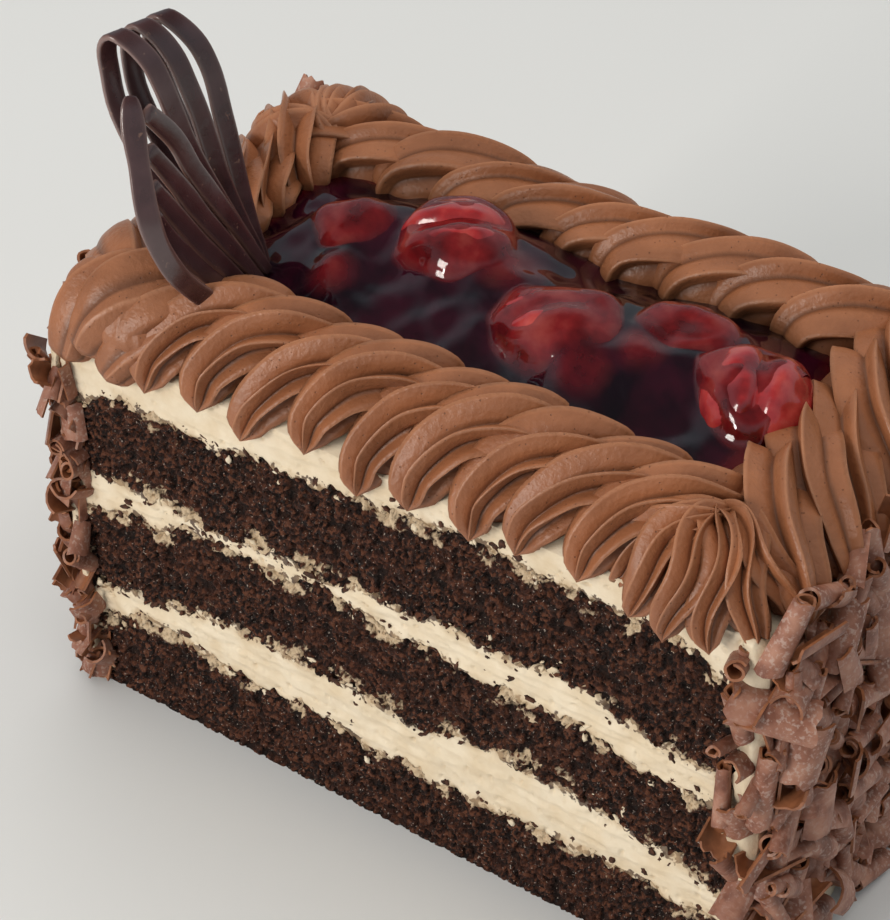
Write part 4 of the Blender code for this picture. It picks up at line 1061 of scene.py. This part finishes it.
# Lighter towards each strap's edges: painted sheen.
cocoa = mixed(tree, maths(tree, "MULTIPLY", painted(tree, "rim"), 0.70), cocoa, EDGE_SHEEN_TONE)
scuffs = ramp(tree, pattern(tree, 0.0014, 4.0), (0.68, 0.0), (0.73, 0.6))
cocoa = mixed(tree, scuffs, cocoa, SCUFF_TONE)
coat_shader(tree, shader, Base_Color=cocoa, Roughness=0.24, Specular_IOR_Level=0.95,
            Normal=bumped(tree, pattern(tree, 0.0016, 3.0), 0.10, 0.0004))
bm = bmesh.new()
for loop in LOOPS:
    rows = [(*fan_point(*point), LOOP_WIDTH * taper) for point, taper in zip(loop, LOOP_TAPER)]
    strap(bm, rows, LOOP_RINGS, sideways=LOOP_SIDEWAYS.normalized())
bmesh.ops.recalc_face_normals(bm, faces=bm.faces)
piece("fan_loops", bm, [dark], ["fan_back"], math.radians(50))
bm = bmesh.new()
facing = fan_point(0, 0, 1) - fan_point(0, 0, 0)
forwards = fan_point(1, 0, 0) - fan_point(0, 0, 0)
rim_rows = [(*fan_point(*point), RIM_WIDTH * taper) for point, taper in zip(FRONT_RIM, RIM_TAPER)]
strap(bm, rim_rows, RIM_RINGS, facing=(facing * RIM_TURN[0] + forwards * RIM_TURN[1]).normalized())
for k, rib in enumerate(FRONT_RIBS):
    out = RIB_OUT - k * RIB_STEP
    rows = [(*fan_point(front, up, out + rise), RIB_WIDTH * taper)
            for (front, up), taper, rise in zip(rib, RIB_TAPER, RIB_RISE)]
    strap(bm, rows, RIB_RINGS, facing=facing)
bmesh.ops.recalc_face_normals(bm, faces=bm.faces)
piece("fan_ribs", bm, [dark], ["fan_front"], math.radians(50))

# Floor
# A plain pale board that carries the cake, painted matt and nearly even in tone, so wide that
# its edges are out of sight.
FLOOR_HALF = 3.0
bm = bmesh.new()
bmesh.ops.create_grid(bm, x_segments=2, y_segments=2, size=FLOOR_HALF)
mesh = bpy.data.meshes.new("floor")
bm.to_mesh(mesh)
bm.free()
floor = bpy.data.objects.new("floor", mesh)
bpy.context.scene.collection.objects.link(floor)
pale, tree, shader = material("pale_board")
tone = ramp(tree, pattern(tree, 0.5), (0.3, 0.66), (0.7, 0.70))
coat_shader(tree, shader, Base_Color=tone, Roughness=0.6)
mesh.materials.append(pale)

# Light
# A soft window in front, a small low one that glints in what is wet, and a wide soft box overhead
# that isn't mirrored. The room is pale low down, faintly blue at mid height and dim above.
LIGHTS = (
    ("window", (-0.30, -1.05, 0.55), 0.45, 0.45, 7.5),
    ("glint", (-0.10, -0.85, 0.22), 0.07, 0.11, 0.9),
    ("overhead", (0.00, 0.25, 1.20), 2.00, 2.00, 18.5),
)
LIGHT_COLOUR = (1.0, 0.95, 0.88)
LIGHT_AIM = Vector((0, 0, 0.05))
ROOM_LIGHT = 0.44
ROOM_TONES = ((0.05, (0.74, 0.76, 0.78)), (0.35, (0.64, 0.79, 0.86)),
              (0.60, (0.64, 0.79, 0.86)), (0.88, (0.22, 0.23, 0.24)))
for name, place, wide, high, watts in LIGHTS:
    lamp = bpy.data.lights.new(name, "AREA")
    lamp.shape = "RECTANGLE"
    lamp.size = wide
    lamp.size_y = high
    lamp.energy = watts
    lamp.color = LIGHT_COLOUR
    holder = bpy.data.objects.new(name, lamp)
    holder.location = place
    holder.rotation_euler = (LIGHT_AIM - Vector(place)).to_track_quat("-Z", "Y").to_euler()
    holder.visible_glossy = name != "overhead"
    bpy.context.scene.collection.objects.link(holder)
world = bpy.data.worlds.new("pale_room")
world.use_nodes = True
tree = world.node_tree
heading = node(tree, "TexCoord").outputs["Generated"]
height = node(tree, "SeparateXYZ", Vector=heading).outputs["Z"]
air = ramp(tree, height, *ROOM_TONES)
coat_shader(tree, tree.nodes["Background"], Color=air, Strength=ROOM_LIGHT)
bpy.context.scene.world = world

# Camera
# A short telephoto lens looks down from above the front right corner, as near as cuts that corner
# off at the edge of the frame.
CAMERA_PLACE = (0.1857, -0.2692, 0.3233)
CAMERA_TURN = math.radians(36.5)
CAMERA_HEIGHT = math.radians(39.7)
CAMERA_ROLL = math.radians(-1.86)
FOCAL_LENGTH = 108.4
back = Vector((math.sin(CAMERA_TURN) * math.cos(CAMERA_HEIGHT),
               -math.cos(CAMERA_TURN) * math.cos(CAMERA_HEIGHT), math.sin(CAMERA_HEIGHT)))
right = Vector((math.cos(CAMERA_TURN), math.sin(CAMERA_TURN), 0))
up = back.cross(right)
sideways = math.cos(CAMERA_ROLL) * right + math.sin(CAMERA_ROLL) * up
upwards = -math.sin(CAMERA_ROLL) * right + math.cos(CAMERA_ROLL) * up
lens = bpy.data.cameras.new("camera")
lens.lens = FOCAL_LENGTH
lens.sensor_width = 36.0
lens.clip_start = 0.01
camera = bpy.data.objects.new("camera", lens)
bpy.context.scene.collection.objects.link(camera)
turned = Matrix((sideways, upwards, back)).transposed().to_4x4()
camera.matrix_world = Matrix.Translation(CAMERA_PLACE) @ turned
bpy.context.scene.camera = camera
bpy.context.scene.view_settings.view_transform = "Standard"
